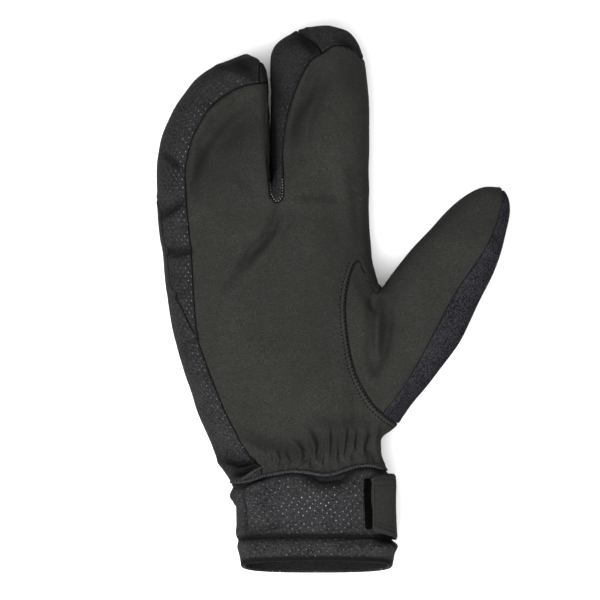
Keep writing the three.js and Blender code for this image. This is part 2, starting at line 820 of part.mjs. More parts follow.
function thumbRegion(grow) {
  const beyond = [at(1.4, 0.05), at(1.4, 0.9), at(0.75, 0.75)];
  const front = planCutter([...seamLine(THUMB_SEAM_FRONT, -grow), ...beyond]);
  const back = planCutter([...seamLine(THUMB_SEAM_BACK, -grow), ...beyond]);
  const far = 2 * PALM_WIDTH;
  const above = heightCutter(levelLine(0.5, 0), -far, far);
  return front.intersect(above).add(back.subtract(above));
}

function thumbSuedeRegion(grow) {
  const line = seamLine(THUMB_BACK_SEAM, grow);
  const outline = [...line, at(-0.5, 0.02), at(-0.5, 0.8), at(0.9, 0.8)];
  const far = 2 * PALM_WIDTH;
  const above = heightCutter(levelLine(THUMB_SEAM_HEIGHT, -grow), -far, far);
  return planCutter(outline).intersect(above);
}

function backRegion(grow) {
  const far = 2 * PALM_WIDTH;
  const sideX = acrossX(SIDE_ACROSS);
  const littleSide = heightCutter(heightLine(BACK_SEAM_LITTLE_SIDE, grow), -far, sideX);
  const thumbSide = heightCutter(heightLine(BACK_SEAM_THUMB_SIDE, grow), sideX, far);
  const outline = [
    ...seamLine(BACK_WRAP_SEAM, grow),
    at(0, 0.1),
    at(0, -0.1),
    at(-0.9, -0.1),
    at(-0.9, 0.66),
  ];
  const all = planCutter([at(-2, -0.2), at(2, -0.2), at(2, 1.2), at(-2, 1.2)]);
  return all.subtract(littleSide).subtract(thumbSide).add(planCutter(outline));
}

// The side walls, from the tip seam of one lobe to that of the other
function splitRegion(grow) {
  const x = acrossX(LITTLE_TIP_SEAM_ACROSS) - grow;
  const indexSeam = seamLine(INDEX_TIP_SEAM, grow);
  return planCutter([
    new THREE.Vector2(x, alongY(1.06)),
    ...indexSeam,
    new THREE.Vector2(indexSeam.at(-1).x, alongY(0.5)),
    new THREE.Vector2(x, alongY(0.5)),
  ]);
}

const sideRegion = (isLittle) => {
  const x = acrossX((LITTLE_TIP_SEAM_ACROSS + INDEX_TIP_SEAM[0].across) / 2);
  const far = 2 * PALM_WIDTH;
  const [a, b] = isLittle ? [-far, x] : [x, far];
  return planCutter([
    new THREE.Vector2(a, alongY(-0.2)),
    new THREE.Vector2(b, alongY(-0.2)),
    new THREE.Vector2(b, alongY(1.2)),
    new THREE.Vector2(a, alongY(1.2)),
  ]);
};

// A point of the cuff's outside at an angle, moved outwards by an offset
function cuffPoint(section, angle, offset = 0) {
  const on = (turn) => {
    const p = anglePoint(section, { left: CUFF_SQUARE, right: CUFF_SQUARE }, turn);
    const depth = p.z > 0 ? section.front : section.back;
    return p.setY(section.y + (section.slant / 2) * (p.z / depth));
  };
  const point = on(angle);
  const ahead = on(angle + 0.02).sub(on(angle - 0.02));
  const out = new THREE.Vector3(ahead.z, 0, -ahead.x).normalize();
  point.addScaledVector(out, offset);
  return point.setZ(point.z + CUFF_MIDDLE);
}

// A closed tube from loops of points, with a flat face at each end
function tubeOf(loops) {
  const points = loops.flat();
  const count = loops[0].length;
  const faces = [];
  for (let r = 0; r < loops.length - 1; r++)
    for (let i = 0; i < count; i++) {
      const [a, b] = [r * count + i, r * count + ((i + 1) % count)];
      faces.push(a, b + count, a + count, a, b, b + count);
    }
  for (const [start, flip] of [[0, true], [points.length - count, false]]) {
    const centre = new THREE.Vector3();
    for (let i = 0; i < count; i++) centre.addScaledVector(points[start + i], 1 / count);
    const c = points.push(centre) - 1;
    for (let i = 0; i < count; i++) {
      const [a, b] = [start + i, start + ((i + 1) % count)];
      faces.push(...(flip ? [c, b, a] : [c, a, b]));
    }
  }
  return solidOf(geometryOf(points, faces));
}

const CUFF_STEP = (2 * Math.PI) / CUFF_SIDES;

function cuffSolid() {
  const topGap = SEAM_GAP * 2;
  const loopAt = (down, offset, drop = 0) =>
    Array.from({ length: CUFF_SIDES }, (_, i) => {
      const p = cuffPoint(cuffSection(down), i * CUFF_STEP, offset);
      const wave = waveAt(p.x) * THREE.MathUtils.clamp(1 - down / 0.3, 0, 1);
      return p.setY(p.y + wave - drop);
    });
  const hem = CUFF.at(-1).down;
  const downs = [0.08, ...CUFF.slice(1).map((row) => row.down)];
  const outer = [loopAt(0, 0, topGap), ...downs.map((down) => loopAt(down, 0))];
  const hollow = [
    loopAt(0, -CUFF_WALL, -2 * SEAM_WAVE),
    ...downs.filter((_, i) => i % 2).map((down) => loopAt(down, -CUFF_WALL)),
    loopAt(hem, -CUFF_WALL),
    loopAt(hem, -CUFF_WALL, HEM_SLANT),
  ];
  return tubeOf(outer).subtract(tubeOf(hollow));
}

// The rolled seam that stands out round the glove where the hand meets the cuff
function ridgeSolid(radius) {
  const section = cuffSection(0);
  const count = CUFF_SIDES;
  const points = [];
  const faces = [];
  for (let i = 0; i < count; i++) {
    const seat = cuffPoint(section, i * CUFF_STEP, RIDGE_RADIUS + SEAM_GAP);
    seat.y += waveAt(seat.x) - SEAM_GAP;
    const out = cuffPoint(section, i * CUFF_STEP, 1).sub(cuffPoint(section, i * CUFF_STEP, 0));
    for (let k = 0; k < RIDGE_SIDES; k++) {
      const turn = (k / RIDGE_SIDES) * 2 * Math.PI;
      const p = seat.clone().addScaledVector(out, radius * Math.cos(turn));
      points.push(p.setY(p.y + radius * Math.sin(turn)));
    }
  }
  for (let i = 0; i < count; i++)
    for (let k = 0; k < RIDGE_SIDES; k++) {
      const [n, m] = [(i + 1) % count, (k + 1) % RIDGE_SIDES];
      const [a, b] = [i * RIDGE_SIDES + k, i * RIDGE_SIDES + m];
      const [c, d] = [n * RIDGE_SIDES + m, n * RIDGE_SIDES + k];
      faces.push(a, b, c, a, c, d);
    }
  return solidOf(geometryOf(points, faces));
}

// A flat strap laid round the cuff from one angle to another, with rounded corners at its end
function strapSolid({ fromAngle, toAngle, width, thickness, seatAt, corner, stations, flare }) {
  const middleY = WRIST_Y - TAB_DOWN * CUFF_LENGTH;
  const onCuff = (angle, y, offset) => {
    const down = THREE.MathUtils.clamp((WRIST_Y - y) / CUFF_LENGTH, 0, 1);
    return cuffPoint({ ...cuffSection(down), slant: 0 }, angle, offset).setY(y);
  };
  const across = [-1, -0.6, 0, 0.6, 1];
  const points = [];
  for (let i = 0; i <= stations; i++) {
    const share = i / stations;
    const angle = THREE.MathUtils.lerp(fromAngle, toAngle, share);
    const toEnd = onCuff(angle, middleY, 0).distanceTo(onCuff(toAngle, middleY, 0));
    const cut = Math.max(0, corner - toEnd);
    const half = width / 2 - (corner - Math.sqrt(Math.max(0, corner ** 2 - cut ** 2)));
    const seat = seatAt(share);
    for (const [k, offset] of [seat, seat + thickness].entries())
      for (const part of k ? across : across.toReversed()) {
        const extra = part < 0 ? flare * THREE.MathUtils.smoothstep(1 - share, 0, 0.45) : 0;
        points.push(onCuff(angle, middleY + part * half - extra, offset));
      }
  }
  const count = 2 * across.length;
  const faces = [];
  for (let i = 0; i < stations; i++)
    for (let k = 0; k < count; k++) {
      const [a, b] = [i * count + k, i * count + ((k + 1) % count)];
      faces.push(a, b, b + count, a, b + count, a + count);
    }
  for (let k = 1; k < count - 1; k++) {
    faces.push(0, k + 1, k);
    const e = stations * count;
    faces.push(e, e + k, e + k + 1);
  }
  return solidOf(geometryOf(points, faces));
}

const suede = new THREE.MeshStandardMaterial({ color: "#3b3a35", roughness: 0.95 });
const softshell = new THREE.MeshStandardMaterial({ color: "#36363a", roughness: 0.85 });
const brushed = new THREE.MeshStandardMaterial({ color: "#2a2a2f", roughness: 1 });
const hookLoop = new THREE.MeshStandardMaterial({ color: "#121212", roughness: 1 });

const outside = new HandSurface({
  inset: 0,
  padding: 0,
  steps: 2,
  columns: FRONT_COLUMNS,
  backColumns: BACK_COLUMNS,
  thumbColumns: THUMB_FRONT_COLUMNS,
  backThumbColumns: THUMB_BACK_COLUMNS,
});
const inside = new HandSurface({
  inset: WALL,
  padding: PALM_PADDING,
  steps: 1,
  columns: BACK_COLUMNS,
  backColumns: BACK_COLUMNS,
  thumbColumns: THUMB_BACK_COLUMNS,
  backThumbColumns: THUMB_BACK_COLUMNS,
});

const ridgeSeat = ridgeSolid(RIDGE_RADIUS + SEAM_GAP);
const shell = outside.solid().subtract(inside.solid()).subtract(ridgeSeat);
const half = SEAM_GAP / 2;
const thumbShell = shell.intersect(thumbRegion(-half));
const handShell = shell.subtract(thumbRegion(half));
const sidesAndBack = handShell.subtract(palmRegion(half));
const sideWalls = sidesAndBack.subtract(backRegion(half));

const panels = {
  palm_panel: [handShell.intersect(palmRegion(-half)), suede],
  back_panel: [sidesAndBack.intersect(backRegion(-half)), softshell],
  outer_gusset: [sideWalls.subtract(splitRegion(half)).intersect(sideRegion(true)), softshell],
  split_gusset: [sideWalls.intersect(splitRegion(-half)), softshell],
  index_gusset: [sideWalls.subtract(splitRegion(half)).intersect(sideRegion(false)), softshell],
  thumb_front: [thumbShell.intersect(thumbSuedeRegion(-half)), suede],
  thumb_back: [thumbShell.subtract(thumbSuedeRegion(half)), brushed],
};

const group = new THREE.Group();
for (const [name, [solid, material]] of Object.entries(panels))
  group.add(meshOf(name, largest(solid), material));

group.add(meshOf("cuff", cuffSolid().subtract(ridgeSeat), softshell));
group.add(meshOf("cuff_seam", ridgeSolid(RIDGE_RADIUS), softshell));

const degrees = THREE.MathUtils.degToRad;
group.add(
  meshOf(
    "loop_patch",
    strapSolid({
      fromAngle: degrees(28),
      toAngle: degrees(53),
      width: LOOP_WIDTH,
      thickness: LOOP_THICKNESS,
      seatAt: () => STRAP_CLEARANCE,
      corner: 1,
      stations: 6,
      flare: 0,
    }),
    hookLoop,
  ),
);
group.add(
  meshOf(
    "closure_tab",
    strapSolid({
      fromAngle: degrees(-70),
      toAngle: degrees(47),
      width: TAB_WIDTH,
      thickness: TAB_THICKNESS,
      seatAt: (share) =>
        STRAP_CLEARANCE +
        (LOOP_THICKNESS + SEAM_GAP) * THREE.MathUtils.smoothstep(share, 0.5, 0.75),
      corner: TAB_CORNER,
      stations: 22,
      flare: TAB_FLARE_WIDTH,
    }),
    suede,
  ),
);

export default group;
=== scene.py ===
import math

import bpy
import numpy as np
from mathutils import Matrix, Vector
from mathutils.bvhtree import BVHTree


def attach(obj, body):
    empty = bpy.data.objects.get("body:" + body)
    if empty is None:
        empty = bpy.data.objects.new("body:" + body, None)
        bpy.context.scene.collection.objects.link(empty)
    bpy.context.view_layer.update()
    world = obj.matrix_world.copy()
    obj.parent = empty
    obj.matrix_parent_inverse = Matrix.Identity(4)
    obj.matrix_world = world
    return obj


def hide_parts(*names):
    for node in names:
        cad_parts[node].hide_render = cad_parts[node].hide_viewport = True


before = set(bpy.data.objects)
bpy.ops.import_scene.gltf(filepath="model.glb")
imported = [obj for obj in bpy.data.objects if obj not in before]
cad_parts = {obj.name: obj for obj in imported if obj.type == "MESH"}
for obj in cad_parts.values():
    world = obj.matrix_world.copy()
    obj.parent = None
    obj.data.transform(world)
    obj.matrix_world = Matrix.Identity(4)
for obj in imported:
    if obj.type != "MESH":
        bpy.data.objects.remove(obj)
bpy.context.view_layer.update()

bl_info = {
    "name": "Lobster claw mitt",
    "version": (1, 0, 0),
    "blender": (4, 5, 0),
    "location": "3D View > Sidebar > Mitt",
    "description": "Builds a right-hand lobster claw winter mitt that lies with its palm up",
    "category": "Object",
}

# Sizes are in millimetres, and become metres where a mesh is made. Only the stage is in metres.
# +Z is up out of the palm, +Y towards the fingertips and +X towards the thumb.
PALM_WIDTH = 106.5
HAND_LENGTH = 222.0
HAND_DEPTH = 40.0
TIP_RISE = 7.0
THUMB_RISE = 4.0
SEAM_WAVE = 3.5
CUFF_LENGTH = 50.0
CUFF_WIDTH = 80.0
CUFF_DEPTH = 35.0
CUFF_WALL = 2.6
HEM_SLANT = 7.5
RIDGE_RADIUS = 1.0
SEAM_GAP = 0.3
TAB_THICKNESS = 2.0
TAB_WIDTH = 28.8
TAB_FLARE = 4.3
TAB_CORNER = 3.0
LOOP_THICKNESS = 1.3
LOOP_WIDTH = 25.0
STRAP_CLEARANCE = 0.7

# Shares of the hand's length
ORIGIN_ALONG = 0.385
LOBE_BLEND = 0.12
WAVE_REACH = 0.08

# A share of the palm's width, and one of the cuff's length
CUFF_CENTRE = 0.249
TAB_DOWN = 0.317


class Table:
    """Rows of named columns, with a smooth curve through them."""

    def __init__(self, columns, *rows):
        self.columns = columns.split()
        self.rows = np.array(rows, float)

    def at(self, s):
        """The columns at row number s, on a Catmull-Rom curve."""
        rows = self.rows
        s = np.asarray(s, float)
        i = np.clip(np.floor(s).astype(int), 0, len(rows) - 2)
        t = (s - i)[..., None]
        wide = np.vstack([2 * rows[0] - rows[1], rows, 2 * rows[-1] - rows[-2]])
        a, b, c, d = (wide[i + k] for k in range(4))
        made = 2 * b + (c - a) * t + (2 * a - 5 * b + 4 * c - d) * t ** 2
        made = 0.5 * (made + (-a + 3 * b - 3 * c + d) * t ** 3)
        return {name: made[..., k] for k, name in enumerate(self.columns)}

    def where(self, name, value):
        """The columns where one of them, which must rise, reaches a value."""
        column = self.rows[:, self.columns.index(name)]
        return self.at(np.interp(value, column, np.arange(len(column))))

    def path(self, density=8):
        """The first two columns as a smooth line of points in millimetres."""
        count = (len(self.rows) - 1) * density
        row = self.at(np.arange(count + 1) / density)
        return np.stack([across_x(row["across"]), along_y(row["along"])], axis=1)


def across_x(across):
    """x at a share of the palm's width."""
    return np.asarray(across) * PALM_WIDTH


def along_y(along):
    """y at a share of the hand's length."""
    return (np.asarray(along) - ORIGIN_ALONG) * HAND_LENGTH


WRIST_Y = float(along_y(0))
MIDDLE = HAND_DEPTH / 2

PALM = Table(
    "along left right front back",
    (0.0, -0.178, 0.587, 0.37, 0.41),
    (0.036, -0.218, 0.559, 0.39, 0.47),
    (0.074, -0.254, 0.561, 0.42, 0.52),
    (0.137, -0.305, 0.566, 0.47, 0.53),
    (0.227, -0.366, 0.554, 0.5, 0.54),
    (0.34, -0.427, 0.54, 0.5, 0.54),
    (0.471, -0.474, 0.512, 0.49, 0.54),
    (0.543, -0.493, 0.5, 0.48, 0.53),
    (0.61, -0.5, 0.5, 0.47, 0.52),
)
THUMB_FROM = 2
THUMB_TO = 6
PALM_SQUARE = (2.5, 2.6)
LITTLE_LOBE = Table(
    "along left right front back",
    (0.61, -0.5, 0.034, 0.47, 0.52),
    (0.678, -0.498, 0.031, 0.46, 0.49),
    (0.745, -0.477, 0.028, 0.45, 0.47),
    (0.802, -0.432, 0.026, 0.43, 0.45),
    (0.847, -0.373, 0.025, 0.4, 0.41),
    (0.881, -0.31, 0.022, 0.35, 0.36),
    (0.908, -0.232, 0.009, 0.28, 0.29),
    (0.926, -0.155, -0.028, 0.19, 0.2),
    (0.936, -0.09, -0.07, 0.03, 0.03),
)
LITTLE_SQUARE = (2.3, 5.0)
INDEX_LOBE = Table(
    "along left right front back",
    (0.61, 0.038, 0.5, 0.47, 0.52),
    (0.7, 0.038, 0.5, 0.47, 0.49),
    (0.791, 0.036, 0.498, 0.46, 0.47),
    (0.858, 0.034, 0.491, 0.43, 0.44),
    (0.903, 0.033, 0.484, 0.4, 0.4),
    (0.937, 0.042, 0.472, 0.35, 0.35),
    (0.962, 0.075, 0.455, 0.28, 0.28),
    (0.982, 0.141, 0.423, 0.2, 0.2),
    (0.993, 0.207, 0.385, 0.12, 0.12),
    (1.0, 0.285, 0.315, 0.03, 0.03),
)
INDEX_SQUARE = (2.2, 2.6)
THUMB = Table(
    "inner_across inner_along outer_across outer_along front back rise",
    (0.577, 0.419, 0.667, 0.124, 0.47, 0.44, 0.1),
    (0.643, 0.462, 0.798, 0.207, 0.45, 0.43, 0.3),
    (0.718, 0.502, 0.92, 0.295, 0.42, 0.41, 0.5),
    (0.798, 0.545, 1.019, 0.378, 0.39, 0.38, 0.7),
    (0.878, 0.588, 1.094, 0.464, 0.35, 0.34, 0.85),
    (0.939, 0.617, 1.141, 0.536, 0.29, 0.29, 0.95),
    (0.995, 0.634, 1.157, 0.59, 0.22, 0.22, 1.0),
    (1.042, 0.641, 1.146, 0.622, 0.13, 0.13, 1.0),
    (1.085, 0.641, 1.115, 0.638, 0.03, 0.03, 1.0),
)
THUMB_SQUARE = 2.3
THUMB_SIDE_ANGLE = math.radians(40)
LOBE_SIDE_ANGLE = math.radians(38)
CUFF = Table(
    "down left right front back slant",
    (0.0, -0.544, 0.452, 0.47, 0.42, 0.0),
    (0.08, -0.524, 0.456, 0.48, 0.45, 0.05),
    (0.12, -0.526, 0.458, 0.485, 0.47, 0.07),
    (0.16, -0.533, 0.459, 0.49, 0.48, 0.1),
    (0.2, -0.5385, 0.459, 0.495, 0.49, 0.13),
    (0.24, -0.538, 0.459, 0.5, 0.5, 0.16),
    (0.28, -0.53, 0.459, 0.5, 0.5, 0.2),
    (0.33, -0.512, 0.459, 0.5, 0.5, 0.26),
    (0.38, -0.498, 0.459, 0.5, 0.5, 0.32),
    (0.62, -0.497, 0.462, 0.49, 0.5, 0.6),
    (0.72, -0.489, 0.472, 0.47, 0.49, 0.72),
    (0.82, -0.484, 0.49, 0.49, 0.5, 0.85),
    (0.935, -0.475, 0.481, 0.45, 0.48, 1.0),
)
CUFF_SQUARE = (2.5, 2.5)
WRIST_WAVE = Table(
    "across rise",
    (-0.146, -1.5),
    (-0.108, -1.43),
    (-0.047, -1.0),
    (0.005, -0.43),
    (0.056, -0.14),
    (0.131, 0.21),
    (0.2, 0.1),
    (0.305, -0.29),
    (0.397, 0.49),
    (0.455, 0.94),
    (0.516, 0.94),
    (0.577, 0.29),
    (0.6, 0.1),
)

# Seams from above, as shares of the palm's width and the hand's length
PALM_SEAM_OUTER = Table(
    "across along",
    (-0.005, 0.011),
    (-0.061, 0.036),
    (-0.117, 0.081),
    (-0.178, 0.137),
    (-0.235, 0.205),
    (-0.277, 0.261),
    (-0.305, 0.306),
    (-0.322, 0.408),
    (-0.338, 0.509),
    (-0.357, 0.61),
    (-0.357, 0.689),
    (-0.305, 0.766),
    (-0.225, 0.824),
    (-0.108, 0.86),
    (0.03, 0.873),
)
PALM_SEAM_SPLIT = Table(
    "across along",
    (0.03, 0.872),
    (0.031, 0.836),
    (0.031, 0.644),
    (0.04, 0.617),
    (0.061, 0.603),
    (0.085, 0.608),
    (0.099, 0.628),
    (0.094, 0.712),
    (0.113, 0.795),
    (0.174, 0.876),
    (0.225, 0.919),
    (0.277, 0.936),
    (0.329, 0.953),
    (0.385, 0.955),
    (0.446, 0.941),
    (0.52, 0.905),
)
THUMB_SEAM_FRONT = Table(
    "across along",
    (0.6, 0.435),
    (0.577, 0.421),
    (0.549, 0.408),
    (0.526, 0.405),
    (0.465, 0.455),
    (0.441, 0.473),
    (0.404, 0.43),
    (0.387, 0.374),
    (0.397, 0.306),
    (0.432, 0.223),
    (0.502, 0.16),
    (0.568, 0.128),
    (0.634, 0.106),
    (0.68, 0.09),
)
THUMB_SEAM_BACK = Table(
    "across along",
    (0.6, 0.435),
    (0.56, 0.41),
    (0.484, 0.318),
    (0.502, 0.194),
    (0.634, 0.106),
    (0.68, 0.09),
)
THUMB_BACK_SEAM = Table(
    "across along",
    (1.14, 0.69),
    (1.127, 0.642),
    (1.117, 0.588),
    (1.038, 0.498),
    (0.906, 0.405),
    (0.784, 0.295),
    (0.667, 0.194),
    (0.563, 0.131),
    (0.5, 0.09),
)
BACK_WRAP_SEAM = Table(
    "across along",
    (-0.53, 0.65),
    (-0.507, 0.622),
    (-0.484, 0.583),
    (-0.46, 0.495),
    (-0.427, 0.412),
    (-0.378, 0.367),
    (-0.31, 0.302),
    (-0.22, 0.24),
)
INDEX_TIP_SEAM = Table(
    "across along",
    (0.1, 1.06),
    (0.16, 0.99),
    (0.221, 0.968),
    (0.263, 0.948),
    (0.278, 0.925),
    (0.28, 0.9),
)
LITTLE_TIP_SEAM_ACROSS = -0.012
INDEX_SEAM_HEIGHT = 0.36
THUMB_SEAM_HEIGHT = 0.42
BACK_SEAM_THUMB_SIDE = Table(
    "along height",
    (-0.1, INDEX_SEAM_HEIGHT),
    (0.28, INDEX_SEAM_HEIGHT),
    (0.36, 0.17),
    (0.5, 0.17),
    (1.1, 0.17),
)
BACK_SEAM_LITTLE_SIDE = Table(
    "along height",
    (-0.1, 0.5),
    (0.54, 0.5),
    (0.6, 0.3),
    (0.66, 0.17),
    (0.8, 0.17),
    (1.1, 0.17),
)
SIDE_ACROSS = -0.25

# Mesh density of the cage under the subdivision surface
FRONT_COLUMNS = 20
BACK_COLUMNS = 14
THUMB_FRONT_COLUMNS = 4
THUMB_BACK_COLUMNS = 3
CAGE_STEPS = 2
CROTCH_STEPS = 5
SUBDIVISIONS = 3

# Folds and creases in the palm side: height in mm, half width in mm, then the line they follow
FOLDS = (
    # below the crotch of the lobes
    (-2.4, 2.8, ((8.0, 50.0), (7.0, 42.0), (5.0, 36.0), (0.8, 30.0), (-5.5, 24.0), (-12.0, 14.0))),
    (-1.3, 3.2, ((-1.0, 29.0), (-10.0, 17.0), (-20.5, 3.0))),
    (1.6, 3.4, ((12.5, 45.0), (10.5, 36.5), (6.0, 28.5), (0.0, 21.0), (-6.0, 12.0))),
    (-0.8, 3.6, ((-26.0, 62.0), (-16.0, 65.0), (-7.0, 58.0), (0.0, 50.5))),
    (-0.6, 2.4, ((10.0, 52.5), (26.0, 52.6), (42.0, 51.0))),
    (0.9, 3.0, ((12.0, 48.0), (26.0, 48.2), (42.0, 47.0))),
    (1.4, 4.0, ((37.0, 76.0), (40.5, 52.0), (44.0, 25.0))),
    # the padding of the little-finger lobe
    (2.0, 2.4, ((0.0, 106.0), (-13.3, 102.5), (-26.0, 92.7), (-33.2, 79.2), (-36.2, 52.0))),
    (-2.8, 5.6, ((-3.0, 97.0), (-17.5, 85.0), (-25.0, 73.0), (-28.5, 50.0))),
    (0.9, 2.4, ((-27.0, 119.5), (-13.3, 111.6), (-9.2, 109.0), (1.0, 106.5))),
    (-1.5, 3.8, ((-22.0, 121.5), (-8.0, 116.5), (2.0, 110.0))),
    # the padding of the index lobe
    (1.9, 2.2, ((33.0, 123.0), (23.0, 117.0), (18.0, 103.0), (14.0, 87.5), (13.0, 68.0))),
    (-2.8, 4.0, ((34.0, 119.0), (27.5, 104.0), (21.5, 88.0), (18.5, 66.0))),
    (-0.5, 2.6, ((31.0, 100.0), (36.5, 92.7), (39.0, 86.0))),
    (-1.5, 3.2, ((11.0, 134.5), (19.5, 131.0), (24.0, 127.0), (26.6, 121.5))),
    (0.9, 1.3, ((19.0, 137.0), (22.4, 134.2), (27.2, 129.2), (30.2, 123.0))),
    (-1.8, 2.4, ((35.5, 129.0), (44.5, 127.8), (49.0, 124.5), (54.5, 117.5))),
    # inside the split
    (-2.2, 1.7, ((4.4, 92.0), (4.4, 66.0), (5.4, 57.0), (8.0, 51.0))),
    # the thumb
    (-1.2, 1.1, ((56.0, 5.5), (54.5, 0.5), (55.5, -3.5), (57.0, -8.0))),
    (-1.9, 3.0, ((54.3, 3.0), (53.8, -15.0))),
    (-3.0, 3.2, ((60.5, 3.0), (61.8, -10.0), (60.8, -20.0), (59.0, -28.0), (54.5, -38.0))),
    (-1.9, 2.4, ((54.0, -10.0), (53.3, -20.0), (53.5, -28.0), (56.0, -40.0))),
    (1.5, 2.2, ((58.0, 0.0), (57.0, -12.0), (56.3, -30.0))),
    (-1.8, 1.3, ((58.0, 10.5), (61.0, 6.0))),
    # the little-finger side wall
    (-2.2, 1.9, ((-53.0, 26.0), (-44.0, 23.0), (-33.5, 25.5))),
    (-2.2, 2.4, ((-52.0, 41.0), (-46.0, 45.5), (-38.5, 50.0))),
    (-2.2, 1.5, ((-50.6, 74.0), (-41.2, 65.1))),
    (-1.8, 2.0, ((-48.5, 1.0), (-35.5, 7.0))),
    (-1.5, 2.0, ((-44.0, -24.0), (-30.0, -16.0))),
    (-3.0, 1.3, ((-22.5, -79.0), (-12.5, -82.5), (-2.0, -79.5))),
    (1.3, 1.1, ((-17.0, -84.4), (-9.0, -84.2), (-2.0, -81.3))),
    (-3.2, 1.3, ((-20.0, -83.6), (-11.5, -86.4), (-1.5, -82.5))),
    # the gathers above the wrist seam
    (-0.81, 2.6, ((-14.0, -63.0), (-2.5, -68.5), (5.0, -71.0), (12.0, -74.0), (18.0, -77.0))),
    (1.41, 2.42, ((-14.0, -67.5), (-4.0, -73.5), (2.0, -77.2), (6.0, -81.5))),
    (-0.81, 1.17, ((-5.0, -79.8), (1.0, -78.3), (4.3, -83.5))),
    (1.32, 1.21, ((5.0, -73.5), (8.3, -79.0), (4.5, -84.5))),
    (-0.69, 1.17, ((5.0, -76.5), (6.2, -80.3), (3.5, -84.5))),
    (-0.75, 1.17, ((7.5, -73.5), (10.4, -80.0), (8.0, -85.0))),
    (1.06, 1.1, ((10.0, -75.0), (12.9, -80.5), (10.8, -85.5))),
    (-0.69, 1.17, ((12.5, -73.5), (15.2, -80.5), (13.5, -86.0))),
    (1.58, 1.54, ((12.5, -68.0), (18.5, -73.8), (19.4, -78.0), (16.0, -83.5))),
    (-1.1, 1.43, ((16.5, -68.0), (21.3, -74.0), (21.5, -78.5), (15.5, -84.5))),
    (1.23, 1.21, ((22.0, -74.5), (23.5, -79.3), (17.0, -85.0))),
    (1.67, 1.54, ((21.5, -64.0), (25.7, -72.5), (25.4, -77.0), (26.5, -81.5))),
    (-1.15, 1.43, ((23.5, -61.0), (28.0, -69.0), (28.4, -73.5), (27.0, -79.5))),
    (-0.92, 1.17, ((22.0, -71.5), (24.0, -78.5), (25.3, -85.0))),
    (-0.58, 3.4, ((15.5, -60.5), (27.5, -60.0), (38.5, -62.0))),
    (1.23, 1.21, ((30.4, -70.5), (30.0, -78.0), (25.5, -86.0))),
    (1.41, 1.32, ((32.2, -61.0), (33.0, -71.0), (32.4, -81.0))),
    (-0.81, 1.04, ((31.2, -68.0), (31.6, -80.5))),
    (-0.86, 1.17, ((34.3, -64.0), (34.7, -79.5))),
    (1.23, 1.21, ((37.6, -70.5), (36.0, -78.0), (38.2, -86.0))),
    (-0.75, 1.04, ((38.4, -65.0), (38.2, -74.5), (40.0, -83.0))),
    (1.32, 1.32, ((41.0, -62.5), (40.2, -72.0), (39.3, -79.5))),
    (-0.92, 1.17, ((43.4, -63.0), (42.2, -72.0), (40.6, -78.5))),
    (-0.81, 2.6, ((39.5, -61.5), (48.0, -60.0), (57.5, -58.0))),
    (1.41, 1.21, ((45.8, -63.0), (44.5, -71.0), (45.7, -78.0))),
    (-0.92, 1.17, ((47.6, -65.0), (46.7, -73.0), (44.0, -80.5))),
    (1.14, 1.32, ((48.2, -67.0), (49.4, -75.5), (49.3, -83.0))),
    (1.23, 2.42, ((50.0, -59.0), (50.5, -73.0))),
    (-0.98, 1.3, ((54.3, -59.5), (52.8, -70.0), (49.5, -78.5))),
    (1.32, 1.54, ((57.0, -61.0), (55.2, -75.0))),
    (-0.75, 1.3, ((59.2, -61.0), (57.0, -74.0))),
    (-0.69, 1.3, ((52.9, -71.0), (55.3, -81.0))),
    (1.06, 1.21, ((55.4, -70.0), (57.3, -81.0))),
)


RISE_FROM = 0.5
RISE_POWER = 1.6


def middle_at(y):
    """The height of the hand's middle, which rises towards the fingertips."""
    share = np.clip((y - along_y(RISE_FROM)) / ((1 - RISE_FROM) * HAND_LENGTH), 0, 1)
    return MIDDLE + TIP_RISE * share ** RISE_POWER


def wave_at(x):
    """How far the wrist seam strays from straight at x."""
    return SEAM_WAVE * WRIST_WAVE.where("across", np.asarray(x) / PALM_WIDTH)["rise"]


def smooth(value, low, high):
    """0 up to low, 1 from high on, with a smooth step between them."""
    t = np.clip((np.asarray(value) - low) / (high - low), 0, 1)
    return t * t * (3 - 2 * t)


def power(value, exponent):
    """A power that keeps the sign."""
    return math.copysign(abs(value) ** exponent, value)


def column_point(section, square, share, on_front):
    """A point of a section at a share of its width, on the palm side or the back."""
    t = 2 * share - 1
    n = square[0] if t < 0 else square[1]
    rounded = max(0.0, 1 - abs(t) ** n) ** (1 / n)
    x = section["left"] + (section["right"] - section["left"]) * share
    z = (section["front"] if on_front else -section["back"]) * rounded
    return np.array([x, section["y"], z])


def angle_point(section, square, angle):
    """A point of a section at an angle: 0 is its right edge, a quarter turn is the palm side."""
    c, s = math.cos(angle), math.sin(angle)
    n = square[0] if c < 0 else square[1]
    centre = (section["left"] + section["right"]) / 2
    half = (section["right"] - section["left"]) / 2
    depth = section["front"] if s > 0 else section["back"]
    return np.array([centre + half * power(c, 2 / n), section["y"], depth * power(s, 2 / n)])


def column_share(i, split, count, split_share):
    """Columns are closer at the edges of the hand."""

    def edge(t):
        return 0.5 * t + 0.5 * (1 - math.cos(t * math.pi / 2))

    if i <= split:
        return split_share * edge(i / split)
    return 1 - (1 - split_share) * edge((count - i) / (count - split))


def cuff_x(share):
    return CUFF_CENTRE * PALM_WIDTH + share * CUFF_WIDTH


def cuff_section(down):
    """The cuff's sections in millimetres at shares of its length."""
    row = CUFF.where("down", down)
    return {
        "y": WRIST_Y - row["down"] * CUFF_LENGTH,
        "left": cuff_x(row["left"]),
        "right": cuff_x(row["right"]),
        "front": row["front"] * CUFF_DEPTH,
        "back": row["back"] * CUFF_DEPTH,
        "slant": row["slant"] * HEM_SLANT,
    }


